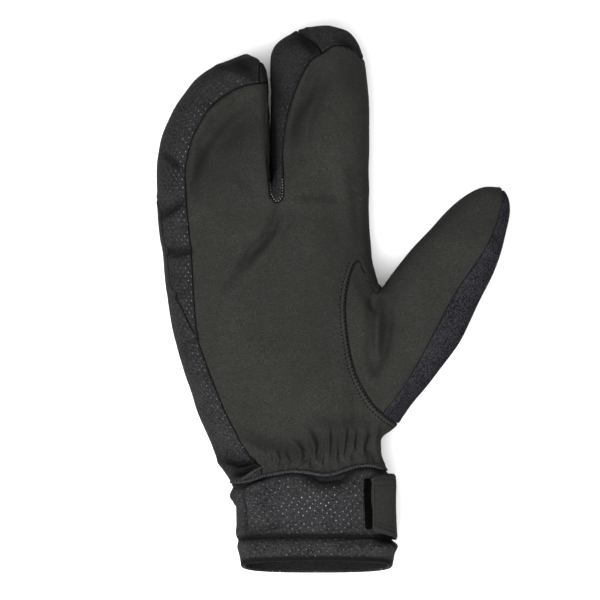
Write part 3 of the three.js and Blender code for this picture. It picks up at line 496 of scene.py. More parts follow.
def scaled(row):
    """A section of the hand in millimetres."""
    return {
        "y": float(along_y(row["along"])),
        "left": float(across_x(row["left"])),
        "right": float(across_x(row["right"])),
        "front": float(row["front"] * HAND_DEPTH),
        "back": float(row["back"] * HAND_DEPTH),
    }


class HandCage:
    """A coarse cage of the hand: palm, two lobes and a thumb, open at the wrist."""

    def __init__(self):
        self.points = []
        self.faces = []
        self.split = FRONT_COLUMNS // 2
        self.back_split = BACK_COLUMNS // 2
        self.build()

    def add(self, point):
        self.points.append((point[0], point[1], max(point[2], 0.0)))
        return len(self.points) - 1

    def strip(self, loop, following, skip=lambda i: False):
        for i, a in enumerate(loop):
            k = (i + 1) % len(loop)
            if not skip(i):
                self.faces.append((a, loop[k], following[k], following[i]))

    def close(self, loop):
        """A fan of triangles over the end of a finger."""
        middle = self.add(np.mean([self.points[i] for i in loop], axis=0))
        for i, a in enumerate(loop):
            self.faces.append((a, loop[(i + 1) % len(loop)], middle))

    def placed(self, point):
        near_seam = max(0.0, 1 - (point[1] - WRIST_Y) / (WAVE_REACH * HAND_LENGTH))
        wave = float(wave_at(point[0])) * near_seam
        return (point[0], point[1] + wave, float(middle_at(point[1])) + point[2])

    def build(self):
        columns, back_columns = FRONT_COLUMNS, BACK_COLUMNS
        split_x = float(across_x(LITTLE_LOBE.rows[0][2] + INDEX_LOBE.rows[0][1]) / 2)
        split_share = (split_x - float(across_x(PALM.rows[-1][1]))) / PALM_WIDTH

        def front(i):
            return column_share(i, self.split, columns, split_share)

        def back(i):
            return column_share(i, self.back_split, back_columns, split_share)

        rows = (len(PALM.rows) - 1) * CAGE_STEPS
        first = {key: float(value) for key, value in cuff_section(0).items()}
        table = PALM.rows.copy()
        table[0, 1:3] = np.array([first["left"], first["right"]]) / PALM_WIDTH
        table[0, 3:5] = np.array([first["front"], first["back"]]) / HAND_DEPTH
        palm = Table(" ".join(PALM.columns), *table)
        loops = []
        for r in range(rows + 1):
            section = scaled(palm.at(r / CAGE_STEPS))
            loop = []
            for i in range(columns + 1):
                point = column_point(section, PALM_SQUARE, front(i), True)
                loop.append(self.add(self.placed(point)))
            for i in range(back_columns - 1, 0, -1):
                point = column_point(section, PALM_SQUARE, back(i), False)
                loop.append(self.add(self.placed(point)))
            loops.append(loop)
        low, high = THUMB_FROM * CAGE_STEPS, THUMB_TO * CAGE_STEPS
        k0 = columns - THUMB_FRONT_COLUMNS
        k1 = columns + THUMB_BACK_COLUMNS
        for r in range(rows):
            inside = low <= r < high
            self.strip(loops[r], loops[r + 1], lambda i: inside and k0 <= i < k1)
        self.lobes(loops[rows], front, back)
        self.thumb(loops, low, high, k0, k1)

    def lobes(self, crown, front, back):
        columns, back_columns = FRONT_COLUMNS, BACK_COLUMNS
        split, back_split = self.split, self.back_split

        def back_at(i):
            return crown[0] if i == 0 else crown[columns + back_columns - i]

        top = np.array(self.points[crown[split]])
        bottom = np.array(self.points[back_at(back_split)])
        web = []
        for m in range(1, CROTCH_STEPS):
            web.append(self.add(top + (bottom - top) * m / CROTCH_STEPS))
        blend_top = LOBE_BLEND * HAND_LENGTH
        turn = math.pi - LOBE_SIDE_ANGLE

        def column(i, on_front, is_little):
            count = columns if on_front else back_columns
            middle = split if on_front else back_split
            share = front(i) if on_front else back(i)
            edge = front(middle) if on_front else back(middle)
            part = i / middle if is_little else (count - i) / (count - middle)
            angle = math.pi - turn * part if is_little else turn * part

            def held(section):
                point = column_point(section, PALM_SQUARE, share, on_front)
                within = share / edge if is_little else (share - edge) / (1 - edge)
                point[0] = section["left"] + (section["right"] - section["left"]) * within
                return point

            return (angle if on_front else -angle), held

        def web_place(m, is_little):
            share = m / CROTCH_STEPS
            inner = LOBE_SIDE_ANGLE * (1 - 2 * share)

            def held(section):
                x = section["right"] if is_little else section["left"]
                z = section["front"] + (-section["back"] - section["front"]) * share
                return np.array([x, section["y"], z])

            return (inner if is_little else math.pi - inner), held

        def grow(lobe, square, first, places):
            loop = first
            start_y = self.points[first[0]][1]
            for r in range(1, (len(lobe.rows) - 1) * CAGE_STEPS + 1):
                section = scaled(lobe.at(r / CAGE_STEPS))
                rounded = float(smooth(section["y"] - start_y, 0, blend_top))
                following = []
                for angle, held in places:
                    free = angle_point(section, square, angle)
                    point = held(section) * (1 - rounded) + free * rounded
                    following.append(self.add(self.placed(point)))
                self.strip(loop, following)
                loop = following
            self.close(loop)

        web_steps = list(range(1, CROTCH_STEPS))
        grow(
            LITTLE_LOBE,
            LITTLE_SQUARE,
            [crown[i] for i in range(split + 1)]
            + web
            + [back_at(i) for i in range(back_split, 0, -1)],
            [column(i, True, True) for i in range(split + 1)]
            + [web_place(m, True) for m in web_steps]
            + [column(i, False, True) for i in range(back_split, 0, -1)],
        )
        grow(
            INDEX_LOBE,
            INDEX_SQUARE,
            [crown[i] for i in range(split, columns + 1)]
            + [back_at(i) for i in range(back_columns - 1, back_split - 1, -1)]
            + web[::-1],
            [column(i, True, False) for i in range(split, columns + 1)]
            + [column(i, False, False) for i in range(back_columns - 1, back_split - 1, -1)]
            + [web_place(m, False) for m in web_steps[::-1]],
        )

    def thumb(self, loops, low, high, k0, k1):
        """The thumb grows from an opening in the index edge of the hand."""
        mouth = [loops[r][k0] for r in range(high, low, -1)]
        mouth += [loops[low][k] for k in range(k0, k1)]
        mouth += [loops[r][k1] for r in range(low, high)]
        mouth += [loops[high][k] for k in range(k1, k0, -1)]
        side, face = k1 - k0, high - low
        wide = math.pi - 2 * THUMB_SIDE_ANGLE
        angles = []
        for i in range(len(mouth)):
            if i < face:
                angles.append(math.pi - THUMB_SIDE_ANGLE - wide * i / face)
            elif i < face + side:
                angles.append(THUMB_SIDE_ANGLE * (1 - 2 * (i - face) / side))
            elif i < 2 * face + side:
                angles.append(-THUMB_SIDE_ANGLE - wide * (i - face - side) / face)
            else:
                angles.append(math.pi + THUMB_SIDE_ANGLE * (1 - 2 * (i - 2 * face - side) / side))

        def ring(s):
            row = THUMB.at(s)
            inner = np.array([across_x(row["inner_across"]), along_y(row["inner_along"])])
            outer = np.array([across_x(row["outer_across"]), along_y(row["outer_along"])])
            centre, half = (inner + outer) / 2, (outer - inner) / 2
            middle = MIDDLE + THUMB_RISE * row["rise"]
            made = []
            for angle in angles:
                c = power(math.cos(angle), 2 / THUMB_SQUARE)
                depth = HAND_DEPTH * (row["front"] if math.sin(angle) > 0 else row["back"])
                z = depth * power(math.sin(angle), 2 / THUMB_SQUARE)
                made.append((*(centre + half * c), float(middle + z)))
            return np.array(made)

        start = np.array([self.points[i] for i in mouth])
        ring0, ring1 = ring(0), ring(1)
        loop = mouth
        arrive = ring1 - ring0
        reach = np.linalg.norm(ring0 - start, axis=1) / np.linalg.norm(arrive, axis=1)
        control = ring0 - arrive * 0.5 * reach[:, None]
        for t in (1 / 3, 2 / 3):
            first = start + (control - start) * t
            second = control + (ring0 - control) * t
            following = [self.add(p) for p in first + (second - first) * t]
            self.strip(loop, following)
            loop = following
        for r in range(len(THUMB.rows)):
            following = [self.add(p) for p in ring(r)]
            self.strip(loop, following)
            loop = following
        self.close(loop)


def mesh_object(name, points_mm, faces):
    """A new object at the origin, from points in millimetres."""
    mesh = bpy.data.meshes.new(name)
    mesh.from_pydata((np.asarray(points_mm) * 0.001).tolist(), [], faces)
    made = bpy.data.objects.new(name, mesh)
    bpy.context.scene.collection.objects.link(made)
    return made


def evaluated(thing):
    """Points in millimetres and polygons of an object with its modifiers."""
    graph = bpy.context.evaluated_depsgraph_get()
    mesh = bpy.data.meshes.new_from_object(thing.evaluated_get(graph))
    points = np.empty(len(mesh.vertices) * 3)
    mesh.vertices.foreach_get("co", points)
    corners = np.empty(len(mesh.loops), int)
    mesh.loops.foreach_get("vertex_index", corners)
    bpy.data.meshes.remove(mesh)
    return points.reshape(-1, 3) * 1000, corners.reshape(-1, 4)


def subdivided_hand():
    """The cage's limit surface, with the cage moved so that the surface passes through it."""
    cage = HandCage()
    made = mesh_object("hand_cage", cage.points, cage.faces)
    target = np.array(cage.points)
    subdivision = made.modifiers.new("Smooth", "SUBSURF")
    subdivision.levels = 1
    moved = target.copy()
    for _ in range(3):
        points, _ = evaluated(made)
        moved += target - points[: len(target)]
        made.data.vertices.foreach_set("co", (moved * 0.001).ravel())
        made.data.update()
    subdivision.levels = SUBDIVISIONS
    points, quads = evaluated(made)
    bpy.data.objects.remove(made)
    return points, quads


def triangles_of(points, quads):
    """Splits each quad along its shorter diagonal."""
    a, b, c, d = (points[quads[:, k]] for k in range(4))
    short = np.linalg.norm(a - c, axis=1) < np.linalg.norm(b - d, axis=1)
    one = np.where(short[:, None], quads[:, [0, 1, 2]], quads[:, [0, 1, 3]])
    two = np.where(short[:, None], quads[:, [0, 2, 3]], quads[:, [1, 2, 3]])
    return np.vstack([one, two])


def normals_of(points, triangles):
    """The normal at each point, from the triangles round it."""
    a, b, c = (points[triangles[:, k]] for k in range(3))
    face = np.cross(b - a, c - a)
    made = np.zeros_like(points)
    for k in range(3):
        np.add.at(made, triangles[:, k], face)
    return made / np.maximum(np.linalg.norm(made, axis=1), 1e-12)[:, None]


def outline_field(points, normals, outline):
    """Distance over the surface to an outline seen from above, more than 0 inside it, and the
    way out from the outline."""
    xy = points[:, :2]
    best = np.full(len(xy), np.inf)
    nearest = np.zeros_like(xy)
    inside = np.zeros(len(xy), bool)
    ends = np.roll(outline, -1, axis=0)
    for a, b in zip(outline, ends):
        span = b - a
        length = math.hypot(*span)
        if length < 1e-6:
            continue
        t = np.clip((xy - a) @ span / length ** 2, 0, 1)
        place = a + t[:, None] * span
        away = ((xy - place) ** 2).sum(axis=1)
        closer = away < best
        best[closer] = away[closer]
        nearest[closer] = place[closer]
        if abs(span[1]) > 1e-9:
            crosses = (a[1] > xy[:, 1]) != (b[1] > xy[:, 1])
            inside ^= crosses & (xy[:, 0] < a[0] + (xy[:, 1] - a[1]) / span[1] * span[0])
    distance = np.sqrt(best)
    towards = (xy - nearest) / np.maximum(distance, 1e-9)[:, None]
    tilt = (towards * normals[:, :2]).sum(axis=1)
    slope = np.sqrt(np.clip(1 - tilt ** 2, 0.03, 1))
    outward = towards * np.where(inside, -1, 1)[:, None]
    return np.where(inside, distance, -distance) / slope, outward


def height_field(points, normals, level):
    """Distance over the surface to a level line, more than 0 above it."""
    slope = np.sqrt(np.clip(1 - normals[:, 2] ** 2, 0.05, 1))
    return (points[:, 2] - level) / slope


def level_at(y, height):
    """z at a share of the hand's depth."""
    return middle_at(y) + (height - 0.5) * HAND_DEPTH


def corner(across, along):
    """One point of an outline, at shares of the palm's width and the hand's length."""
    return np.array([[float(across_x(across)), float(along_y(along))]])


class Panels:
    """The hand's surface, cut along its seams. Each point has its place, its normal, its
    distance to the seams and the way out from the palm's outline in the columns of one array.
    A cut leaves a hair's breadth on both sides of a seam, and finer triangles in two bands."""

    PLACE = slice(0, 3)
    NORMAL = slice(3, 6)
    THUMB, SUEDE, PALM, BACK, SPLIT, OUT_X, OUT_Y = range(6, 13)
    GAP = 0.06
    SNAP = 0.02
    BANDS = (0.35, 0.8)
    REGIONS = (
        "whole",
        "hand",
        "thumb",
        "thumb_front",
        "thumb_back",
        "palm_panel",
        "sides_and_back",
        "back_panel",
        "walls",
        "split_gusset",
        "outer_walls",
        "outer_gusset",
        "index_gusset",
    )

    def __init__(self, points, triangles):
        normals = normals_of(points, triangles)
        fields = self.fields(points, normals)
        self.values = np.hstack([points, normals, *[f[:, None] for f in fields]])
        self.triangles = triangles
        self.region = np.zeros(len(triangles), int)
        self.cut_up()

    def fields(self, points, normals):
        """Distances to the seams, and the way out of the palm's outline. Corners close each
        outline where it cuts nothing."""
        x, y, z = points.T

        def inside(beyond, *seams):
            outline = [seam.path() for seam in seams] + [corner(*place) for place in beyond]
            return outline_field(points, normals, np.vstack(outline))

        beyond = ((1.4, 0.05), (1.4, 0.9), (0.75, 0.75))
        front, back = (inside(beyond, seam)[0] for seam in (THUMB_SEAM_FRONT, THUMB_SEAM_BACK))
        upper = smooth(z - middle_at(y), -2, 2)
        thumb = front * upper + back * (1 - upper)
        suede = inside(((-0.5, 0.02), (-0.5, 0.8), (0.9, 0.8)), THUMB_BACK_SEAM)[0]
        suede = np.minimum(suede, height_field(points, normals, level_at(y, THUMB_SEAM_HEIGHT)))
        palm_seams = (PALM_SEAM_OUTER, PALM_SEAM_SPLIT)
        palm = inside(((0.8, 0.8), (0.8, -0.1), (-0.005, -0.1)), *palm_seams)[0]
        palm = np.minimum(palm, height_field(points, normals, level_at(y, INDEX_SEAM_HEIGHT)))
        along = y / HAND_LENGTH + ORIGIN_ALONG
        little = BACK_SEAM_LITTLE_SIDE.where("along", along)["height"]
        thumb_side = BACK_SEAM_THUMB_SIDE.where("along", along)["height"]
        height = np.where(x < across_x(SIDE_ACROSS), little, thumb_side)
        wrap = inside(((0, 0.1), (0, -0.1), (-0.9, -0.1), (-0.9, 0.66)), BACK_WRAP_SEAM)[0]
        back = np.maximum(-height_field(points, normals, level_at(y, height)), wrap)
        left = LITTLE_TIP_SEAM_ACROSS
        right, tip = INDEX_TIP_SEAM.rows[-1][0], INDEX_TIP_SEAM.rows[0][1]
        split = inside(((right, 0.5), (left, 0.5), (left, tip)), INDEX_TIP_SEAM)[0]
        outward = inside(((0.47, 0.84), (0.46, 0.1), (-0.005, 0.0)), *palm_seams)[1]
        return thumb, suede, palm, back, split, *outward.T

    def cut(self, column, level, only):
        """Splits the triangles of these regions where a field crosses a level."""
        f = self.values[:, column] - level
        side = np.where(np.abs(f) < self.SNAP, 0, np.sign(f)).astype(int)
        sides = side[self.triangles]
        mixed = np.isin(self.region, only) & (sides.min(axis=1) < 0) & (sides.max(axis=1) > 0)
        if not mixed.any():
            return
        corners, sides, region = self.triangles[mixed], sides[mixed], self.region[mixed]
        total = sides.sum(axis=1)
        lone = np.where(total == 0, np.argmax(sides == 0, axis=1), 0)
        lone = np.where(total != 0, np.argmax(sides == -total[:, None], axis=1), lone)
        turn = (lone[:, None] + np.arange(3)) % 3
        a, b, c = np.take_along_axis(corners, turn, axis=1).T
        two = total != 0
        starts = np.concatenate([a[two], a[two], b[~two]])
        ends = np.concatenate([b[two], c[two], c[~two]])
        low, high = np.minimum(starts, ends), np.maximum(starts, ends)
        keys, place = np.unique(low * len(f) + high, return_inverse=True)
        low, high = keys // len(f), keys % len(f)
        t = (f[low] / (f[low] - f[high]))[:, None]
        new = self.values[low] * (1 - t) + self.values[high] * t
        place = place.ravel() + len(f)
        n = int(two.sum())
        p, q, r = place[:n], place[n : 2 * n], place[2 * n :]
        a2, b2, c2, a1, b1, c1 = a[two], b[two], c[two], a[~two], b[~two], c[~two]
        made = [(a2, p, q), (p, b2, c2), (p, c2, q), (a1, b1, r), (a1, r, c1)]
        kinds = [region[two]] * 3 + [region[~two]] * 2
        self.values = np.vstack([self.values, new])
        self.triangles = np.vstack([self.triangles[~mixed], *[np.stack(m, axis=1) for m in made]])
        self.region = np.concatenate([self.region[~mixed], *kinds])

    def part(self, column, *names):
        """Parts a region in two along a seam, and drops the hair's breadth between them."""
        region, inside, outside = (self.REGIONS.index(name) for name in names)
        for level in (-self.GAP, self.GAP):
            self.cut(column, level, [region])
        middle = self.values[self.triangles, column].mean(axis=1)
        here = self.region == region
        self.region[here & (middle >= self.GAP * 0.98)] = inside
        self.region[here & (middle <= -self.GAP * 0.98)] = outside
        keep = ~(here & (np.abs(middle) < self.GAP * 0.98))
        self.triangles, self.region = self.triangles[keep], self.region[keep]
        for band in self.BANDS:
            self.cut(column, band, [inside])
            self.cut(column, -band, [outside])

    def cut_up(self):
        self.part(self.THUMB, "whole", "thumb", "hand")
        self.part(self.SUEDE, "thumb", "thumb_front", "thumb_back")
        self.part(self.PALM, "hand", "palm_panel", "sides_and_back")
        self.part(self.BACK, "sides_and_back", "back_panel", "walls")
        self.part(self.SPLIT, "walls", "split_gusset", "outer_walls")
        middle = self.values[self.triangles, 0].mean(axis=1)
        edge = float(across_x((LITTLE_TIP_SEAM_ACROSS + INDEX_TIP_SEAM.rows[0][0]) / 2))
        walls, little, index = (
            self.REGIONS.index(name) for name in ("outer_walls", "outer_gusset", "index_gusset")
        )
        outer = self.region == walls
        self.region[outer] = np.where(middle[outer] < edge, little, index)

    def panel(self, name):
        """The values and triangles of one panel, with its own points."""
        mine = self.triangles[self.region == self.REGIONS.index(name)]
        used, corners = np.unique(mine, return_inverse=True)
        return self.values[used], corners.reshape(-1, 3)


# Cells of the noise before it repeats, and the shift that keeps a cell's number above zero
NOISE_CELLS = 32
NOISE_SHIFT = 1000


def lattice_noise(points, wavelength, seed):
    """Smooth noise from -1 to 1 in space, that changes over about this many millimetres."""
    grid = np.random.default_rng(seed).uniform(-1, 1, (NOISE_CELLS,) * 3)
    place = points / wavelength + NOISE_SHIFT
    cell = np.floor(place).astype(int)
    t = place - cell
    t = t * t * (3 - 2 * t)
    total = np.zeros(len(points))
    for corner_bits in range(8):
        bits = np.array([corner_bits >> k & 1 for k in range(3)])
        weight = np.where(bits, t, 1 - t).prod(axis=1)
        i, j, k = ((cell + bits) % NOISE_CELLS).T
        total += weight * grid[i, j, k]
    return total


# How fast a fold grows from its ends
FOLD_GROWS = 4.5


def fold_height(points, rise, width, path):
    """The height of a fold that follows an open line seen from above and dies away at both
    ends of it."""
    xy = points[:, :2]
    path = np.array(path)
    lengths = np.linalg.norm(np.diff(path, axis=0), axis=1)
    best, place, run = np.full(len(xy), np.inf), np.zeros(len(xy)), 0.0
    for a, b, length in zip(path[:-1], path[1:], lengths):
        t = np.clip((xy - a) @ (b - a) / length ** 2, 0, 1)
        away = ((xy - a - t[:, None] * (b - a)) ** 2).sum(axis=1)
        place = np.where(away < best, run + t * length, place)
        best = np.minimum(best, away)
        run += length
    share = place / run
    return rise * np.exp(-best / width ** 2) * np.clip(FOLD_GROWS * share * (1 - share), 0, 1)


# Rows of small gathers: height, the length over which a gather's phase grows by one, how far
# they stray, and the length and the seed of the noise that they stray by
PALM_GATHERS = (0.34, 0.56, 2.4, 8.0, 13)
BACK_GATHERS = (0.55, 1.25, 1.3, 7.0, 11)
HEM_TUCKS = (0.22, 1.15, 1.6, 8.0, 23)
CUFF_TOP_GATHERS = (0.3, 1.5, 1.5, 12.0, 21)
PALM_GATHERS_UP = 7.0
PALM_GATHERS_REACH = 7.5
BACK_GATHERS_REACH = 16.0

# Waves of the padded fabric: height, length and seed
HAND_WAVES = ((1.1, 26.0, 3), (0.35, 11.0, 5))
CUFF_WAVES = ((0.35, 12.0, 21), (0.45, 24.0, 24))

# A seam is drawn in over its half width, varies along its run and has a swell on both sides
SEAM_HALF_WIDTH = 0.7
SEAM_VARIES = 0.25
SEAM_NOISE = (9.0, 9)
PUCKER_NOISE = (5.5, 7)
PUCKER_REACH = 2.6
SWELL_RISE = 0.22
SWELL_AWAY = 1.7
SWELL_WIDTH = 1.1


def bell(value, centre, width):
    """1 at the centre, dying away on both sides of it over this width."""
    return np.exp(-(((value - centre) / width) ** 2))


def facing_up(normal_z):
    """1 where the fabric looks up, 0 where it looks down, with the change past its side."""
    return np.clip((normal_z + 0.1) / 0.35, 0, 1)


def gathers(points, run, rise, length, stray, noise_length, seed):
    """A row of small gathers that follow one another along a run."""
    return rise * np.sin(run / length + stray * lattice_noise(points, noise_length, seed))


def relief(points, normals, seam, settings):
    """How far the fabric stands out of the smooth surface: seams drawn in, folds, gathers and
    the slight waves of a padded fabric."""
    x, y, _ = points.T
    facing = facing_up(normals[:, 2])
    height = np.zeros(len(points))
    for rise, width, path in FOLDS:
        height += settings.folds * facing * fold_height(points, rise, width, path)
    near = bell(y, WRIST_Y, BACK_GATHERS_REACH)
    height += gathers(points, x, *BACK_GATHERS) * near * (1 - facing)
    near = bell(y, WRIST_Y + PALM_GATHERS_UP, PALM_GATHERS_REACH)
    height += gathers(points, x, *PALM_GATHERS) * near * facing
    for rise, length, seed in HAND_WAVES:
        height += rise * lattice_noise(points, length, seed)
    pucker = settings.pucker * np.exp(-seam / PUCKER_REACH)
    height += pucker * lattice_noise(points, *PUCKER_NOISE)
    depth = settings.seam_depth * (1 + SEAM_VARIES * lattice_noise(points, *SEAM_NOISE))
    height -= depth * np.clip(1 - seam / SEAM_HALF_WIDTH, 0, 1) ** 2
    height += SWELL_RISE * bell(seam, SWELL_AWAY, SWELL_WIDTH)
    return height


def hex_linear(text):
    """A linear colour from sRGB hex."""
    made = []
    for k in (1, 3, 5):
        value = int(text[k : k + 2], 16) / 255
        made.append(value / 12.92 if value <= 0.04045 else ((value + 0.055) / 1.055) ** 2.4)
    return (*made, 1.0)


def opaque(colour, factor=1.0):
    """A colour of three values, lighter or darker by a factor, with its alpha."""
    return (*(value * factor for value in colour), 1.0)


def add_node(tree, kind, inputs=None, **settings):
    """Adds a node with its settings; an input is a value, or a socket to link."""
    made = tree.nodes.new(kind)
    for name, value in settings.items():
        setattr(made, name, value)
    for name, value in (inputs or {}).items():
        fitting = [s for s in made.inputs if s.enabled and s.name == name]
        socket = fitting[0] if fitting else made.inputs[name]
        if isinstance(value, bpy.types.NodeSocket):
            tree.links.new(value, socket)
        else:
            socket.default_value = value
    return made


def new_material(name):
    """The empty node tree of a new material."""
    made = bpy.data.materials.new(name)
    made.use_nodes = True
    made.node_tree.nodes.clear()
    return made.node_tree


# A noise of this scale has one feature per millimetre
PER_MM = 1000


def layered(tree, layers, start=0.0):
    """Noises added up from a start. A layer is its features per millimetre, detail and weight."""
    place = add_node(tree, "ShaderNodeTexCoord").outputs["Object"]
    for features, detail, weight in layers:
        wanted = {"Vector": place, "Scale": features * PER_MM, "Detail": detail}
        noise = add_node(tree, "ShaderNodeTexNoise", wanted).outputs["Fac"]
        wanted = {0: noise, 1: weight, 2: start}
        start = add_node(tree, "ShaderNodeMath", wanted, operation="MULTIPLY_ADD").outputs[0]
    return start


def toned(tree, value, low, high, dark, light):
    """A colour between a dark and a light one, as a value goes from low to high."""
    wanted = {"Value": value, "From Min": low, "From Max": high}
    share = add_node(tree, "ShaderNodeMapRange", wanted).outputs[0]
    wanted = {"Factor": share, "A": dark, "B": light}
    return add_node(tree, "ShaderNodeMix", wanted, data_type="RGBA").outputs[2]


def shaded(tree, colour, dark):
    """The colour with painted shade from the attribute shade: darker in the seams, hollows and
    creases.
    """
    share = add_node(tree, "ShaderNodeAttribute", attribute_name="shade").outputs["Fac"]
    wanted = {"Factor": share, "A": colour, "B": hex_linear(dark)}
    return add_node(tree, "ShaderNodeMix", wanted, data_type="RGBA").outputs[2]


def finish_material(tree, colour, height, depth, strength, roughness, gloss=0.04):
    """Ends a cloth's nodes with a bump of this depth in metres and a matt surface."""
    wanted = {"Height": height, "Distance": depth, "Strength": strength}
    bump = add_node(tree, "ShaderNodeBump", wanted).outputs["Normal"]
    wanted = {"Base Color": colour, "Normal": bump}
    wanted.update({"Roughness": roughness, "Specular IOR Level": gloss})
    shader = add_node(tree, "ShaderNodeBsdfPrincipled", wanted)
    add_node(tree, "ShaderNodeOutputMaterial", {"Surface": shader.outputs["BSDF"]})


def suede_material(name, dark, light):
    """Microfibre synthetic suede, sanded to a short nap: matt, mottled where the nap lies
    another way, with painted shade in its seams and hollows. The nap is drawn at half a
    millimetre, coarser than the real one, so that it shows."""
    tree = new_material(name)
    nap = layered(tree, ((1.9, 4, 0.95), (0.26, 4, 0.1), (0.045, 2, 0.2)), -0.2)
    colour = toned(tree, nap, 0.38, 0.72, opaque(dark), opaque(light))
    finish_material(tree, shaded(tree, colour, "#101010"), nap, 0.0004, 0.8, 0.95)


# The dots stand in rows half a pitch apart. A dot is full up to its radius and gone at its
# edge, and both are shares of the pitch.
DOT_PITCH_MM = 4.0
DOT_RADIUS = 0.035
DOT_EDGE = 0.1


def dot_mask(tree):
    """1 inside the printed dots, on two square lattices half a pitch from each other."""
    cloth = add_node(tree, "ShaderNodeAttribute", attribute_name="cloth").outputs["Vector"]
    kind = "ShaderNodeVectorMath"
    wanted = {0: cloth, "Scale": 1 / DOT_PITCH_MM}
    pitch = add_node(tree, kind, wanted, operation="SCALE").outputs[0]
    away = []
    for shift in (0.0, 0.5):
        place = add_node(tree, kind, {0: pitch, 1: (shift, shift, 0)}, operation="ADD").outputs[0]
        place = add_node(tree, kind, {0: place}, operation="FRACTION").outputs[0]
        centre = add_node(tree, kind, {0: place, 1: (0.5, 0.5, 0.0)}, operation="DISTANCE")
        away.append(centre.outputs["Value"])
    nearest = add_node(tree, "ShaderNodeMath", {0: away[0], 1: away[1]}, operation="MINIMUM")
    wanted = {"Value": nearest.outputs[0], "From Min": DOT_RADIUS, "From Max": DOT_EDGE}
    wanted.update({"To Min": 1.0, "To Max": 0.0})
    soft = add_node(tree, "ShaderNodeMapRange", wanted, interpolation_type="SMOOTHSTEP")
    return soft.outputs[0]


def softshell_material(name, base, dot):
    """Woven stretch softshell with a fine print of pale dots, more rubbed off in some places
    than in others, and painted shade where the attribute shade holds it. The weave is drawn at
    one thread to the millimetre, coarser than the real one, so that it shows."""
    tree = new_material(name)
    weave = layered(tree, ((1.05, 3, 1.0),))
    ground = layered(tree, ((0.07, 3, 0.35),), weave)
    cloth = toned(tree, ground, 0.45, 0.9, opaque(base, 0.3), opaque(base, 1.8))
    wanted = {"Value": layered(tree, ((0.42, 1, 1.0),)), "From Min": 0.35, "From Max": 0.65}
    share = add_node(tree, "ShaderNodeMapRange", wanted).outputs[0]
    fresh = add_node(tree, "ShaderNodeAttribute", attribute_name="print").outputs["Fac"]
    for factor in (fresh, dot_mask(tree)):
        wanted = {0: share, 1: factor}
        share = add_node(tree, "ShaderNodeMath", wanted, operation="MULTIPLY").outputs[0]
    wanted = {"Factor": share, "A": cloth, "B": opaque(dot)}
    colour = add_node(tree, "ShaderNodeMix", wanted, data_type="RGBA").outputs[2]
    finish_material(tree, shaded(tree, colour, "#0c0c0d"), weave, 0.00015, 0.6, 0.8)


def pile_material(name, dark, light, tufts, depth):
    """Brushed or looped pile: tufts a fraction of a millimetre across that swallow the light."""
    tree = new_material(name)
    tuft = layered(tree, ((tufts, 4, 1.0),))
    both = layered(tree, ((0.12, 2, 0.18),), tuft)
    colour = toned(tree, both, 0.44, 0.76, opaque(dark), opaque(light))
    finish_material(tree, colour, tuft, depth, 1.0, 1.0, 0.005)


def thread_material(name, colour):
    """Spun polyester sewing thread, twisted, with a slight lustre."""
    tree = new_material(name)
    twist = layered(tree, ((2.5, 2, 1.0),))
    wanted = {"Factor": twist, "A": opaque(colour, 0.7), "B": opaque(colour, 1.3)}
    tone = add_node(tree, "ShaderNodeMix", wanted, data_type="RGBA").outputs[2]
    finish_material(tree, tone, twist, 0.0001, 1.0, 0.7)


def tint(name, text, description):
    """A colour that the user can change."""
    return bpy.props.FloatVectorProperty(
        name=name,
        description=description,
        subtype="COLOR",
        size=3,
        min=0,
        max=1,
        default=hex_linear(text)[:3],
    )


class MittSettings(bpy.types.PropertyGroup):
    """Sizes and colours of the mitt's fabric that a user would change."""

    wall: bpy.props.FloatProperty(
        name="Wall", description="Thickness of the padded fabric in mm", default=2.6, min=1
    )
    seam_depth: bpy.props.FloatProperty(
        name="Seam depth", description="How far a seam is drawn in, in mm", default=0.65, min=0
    )
    pucker: bpy.props.FloatProperty(
        name="Pucker", description="Height of the puckers beside a seam in mm", default=0.3
    )
    folds: bpy.props.FloatProperty(
        name="Folds", description="Height of the folds and gathers, as a factor", default=1.2
    )
    suede_dark: tint("Suede, dark", "#1f1f1d", "Colour of the suede where its nap lies flat")
    suede_light: tint("Suede, light", "#343432", "Colour of the suede where its nap stands up")
    softshell: tint("Softshell", "#222223", "Ground colour of the softshell")
    dots: tint("Dots", "#96969a", "Colour of the dots printed on the softshell")
    knit_dark: tint("Knit, dark", "#0d0d0f", "Darkest colour of the thumb's brushed knit")
    knit_light: tint("Knit, light", "#303034", "Lightest colour of the thumb's brushed knit")
    binding_dark: tint("Binding, dark", "#19191a", "Darkest colour of the rolled seams")
    binding_light: tint("Binding, light", "#353537", "Lightest colour of the rolled seams")
    loop_dark: tint("Loop pile, dark", "#020202", "Darkest colour of the loop patch")
    loop_light: tint("Loop pile, light", "#080808", "Lightest colour of the loop patch")
    thread: tint("Thread", "#353534", "Colour of the cover stitches by the thumb")
    pale_thread: tint("Pale thread", "#656563", "Colour of the stitches in the fork")
    dark_thread: tint("Dark thread", "#0c0c0b", "Colour of the cuff's and the tab's stitches")


SUEDE = "Microfibre suede"
SOFTSHELL = "Dotted softshell"
KNIT = "Brushed knit"
BINDING = "Rolled seam fabric"
LOOP = "Loop pile"
THREAD = "Spun polyester thread"
PALE_THREAD = "Pale polyester thread"
DARK_THREAD = "Dark polyester thread"
HOLE_SHADE = "Needle hole"

# Points and triangles of the finished surfaces that trims and stitches are laid on
SURFACES = {}


def finished_piece(name, points, faces, fabric, nodes, attributes=None, fill=None):
    """Makes a smooth piece that rides on the frame and stands for CAD nodes."""
    made = mesh_object(name, points, faces)
    made.data.polygons.foreach_set("use_smooth", [True] * len(made.data.polygons))
    for key, values in (attributes or {}).items():
        kind, field = ("FLOAT", "value") if values.ndim == 1 else ("FLOAT_VECTOR", "vector")
        layer = made.data.attributes.new(key, kind, "POINT")
        layer.data.foreach_set(field, values.ravel())
    made.data.materials.append(bpy.data.materials[fabric])
    made.data.update()
    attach(made, "root")
    if nodes:
        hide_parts(*nodes)


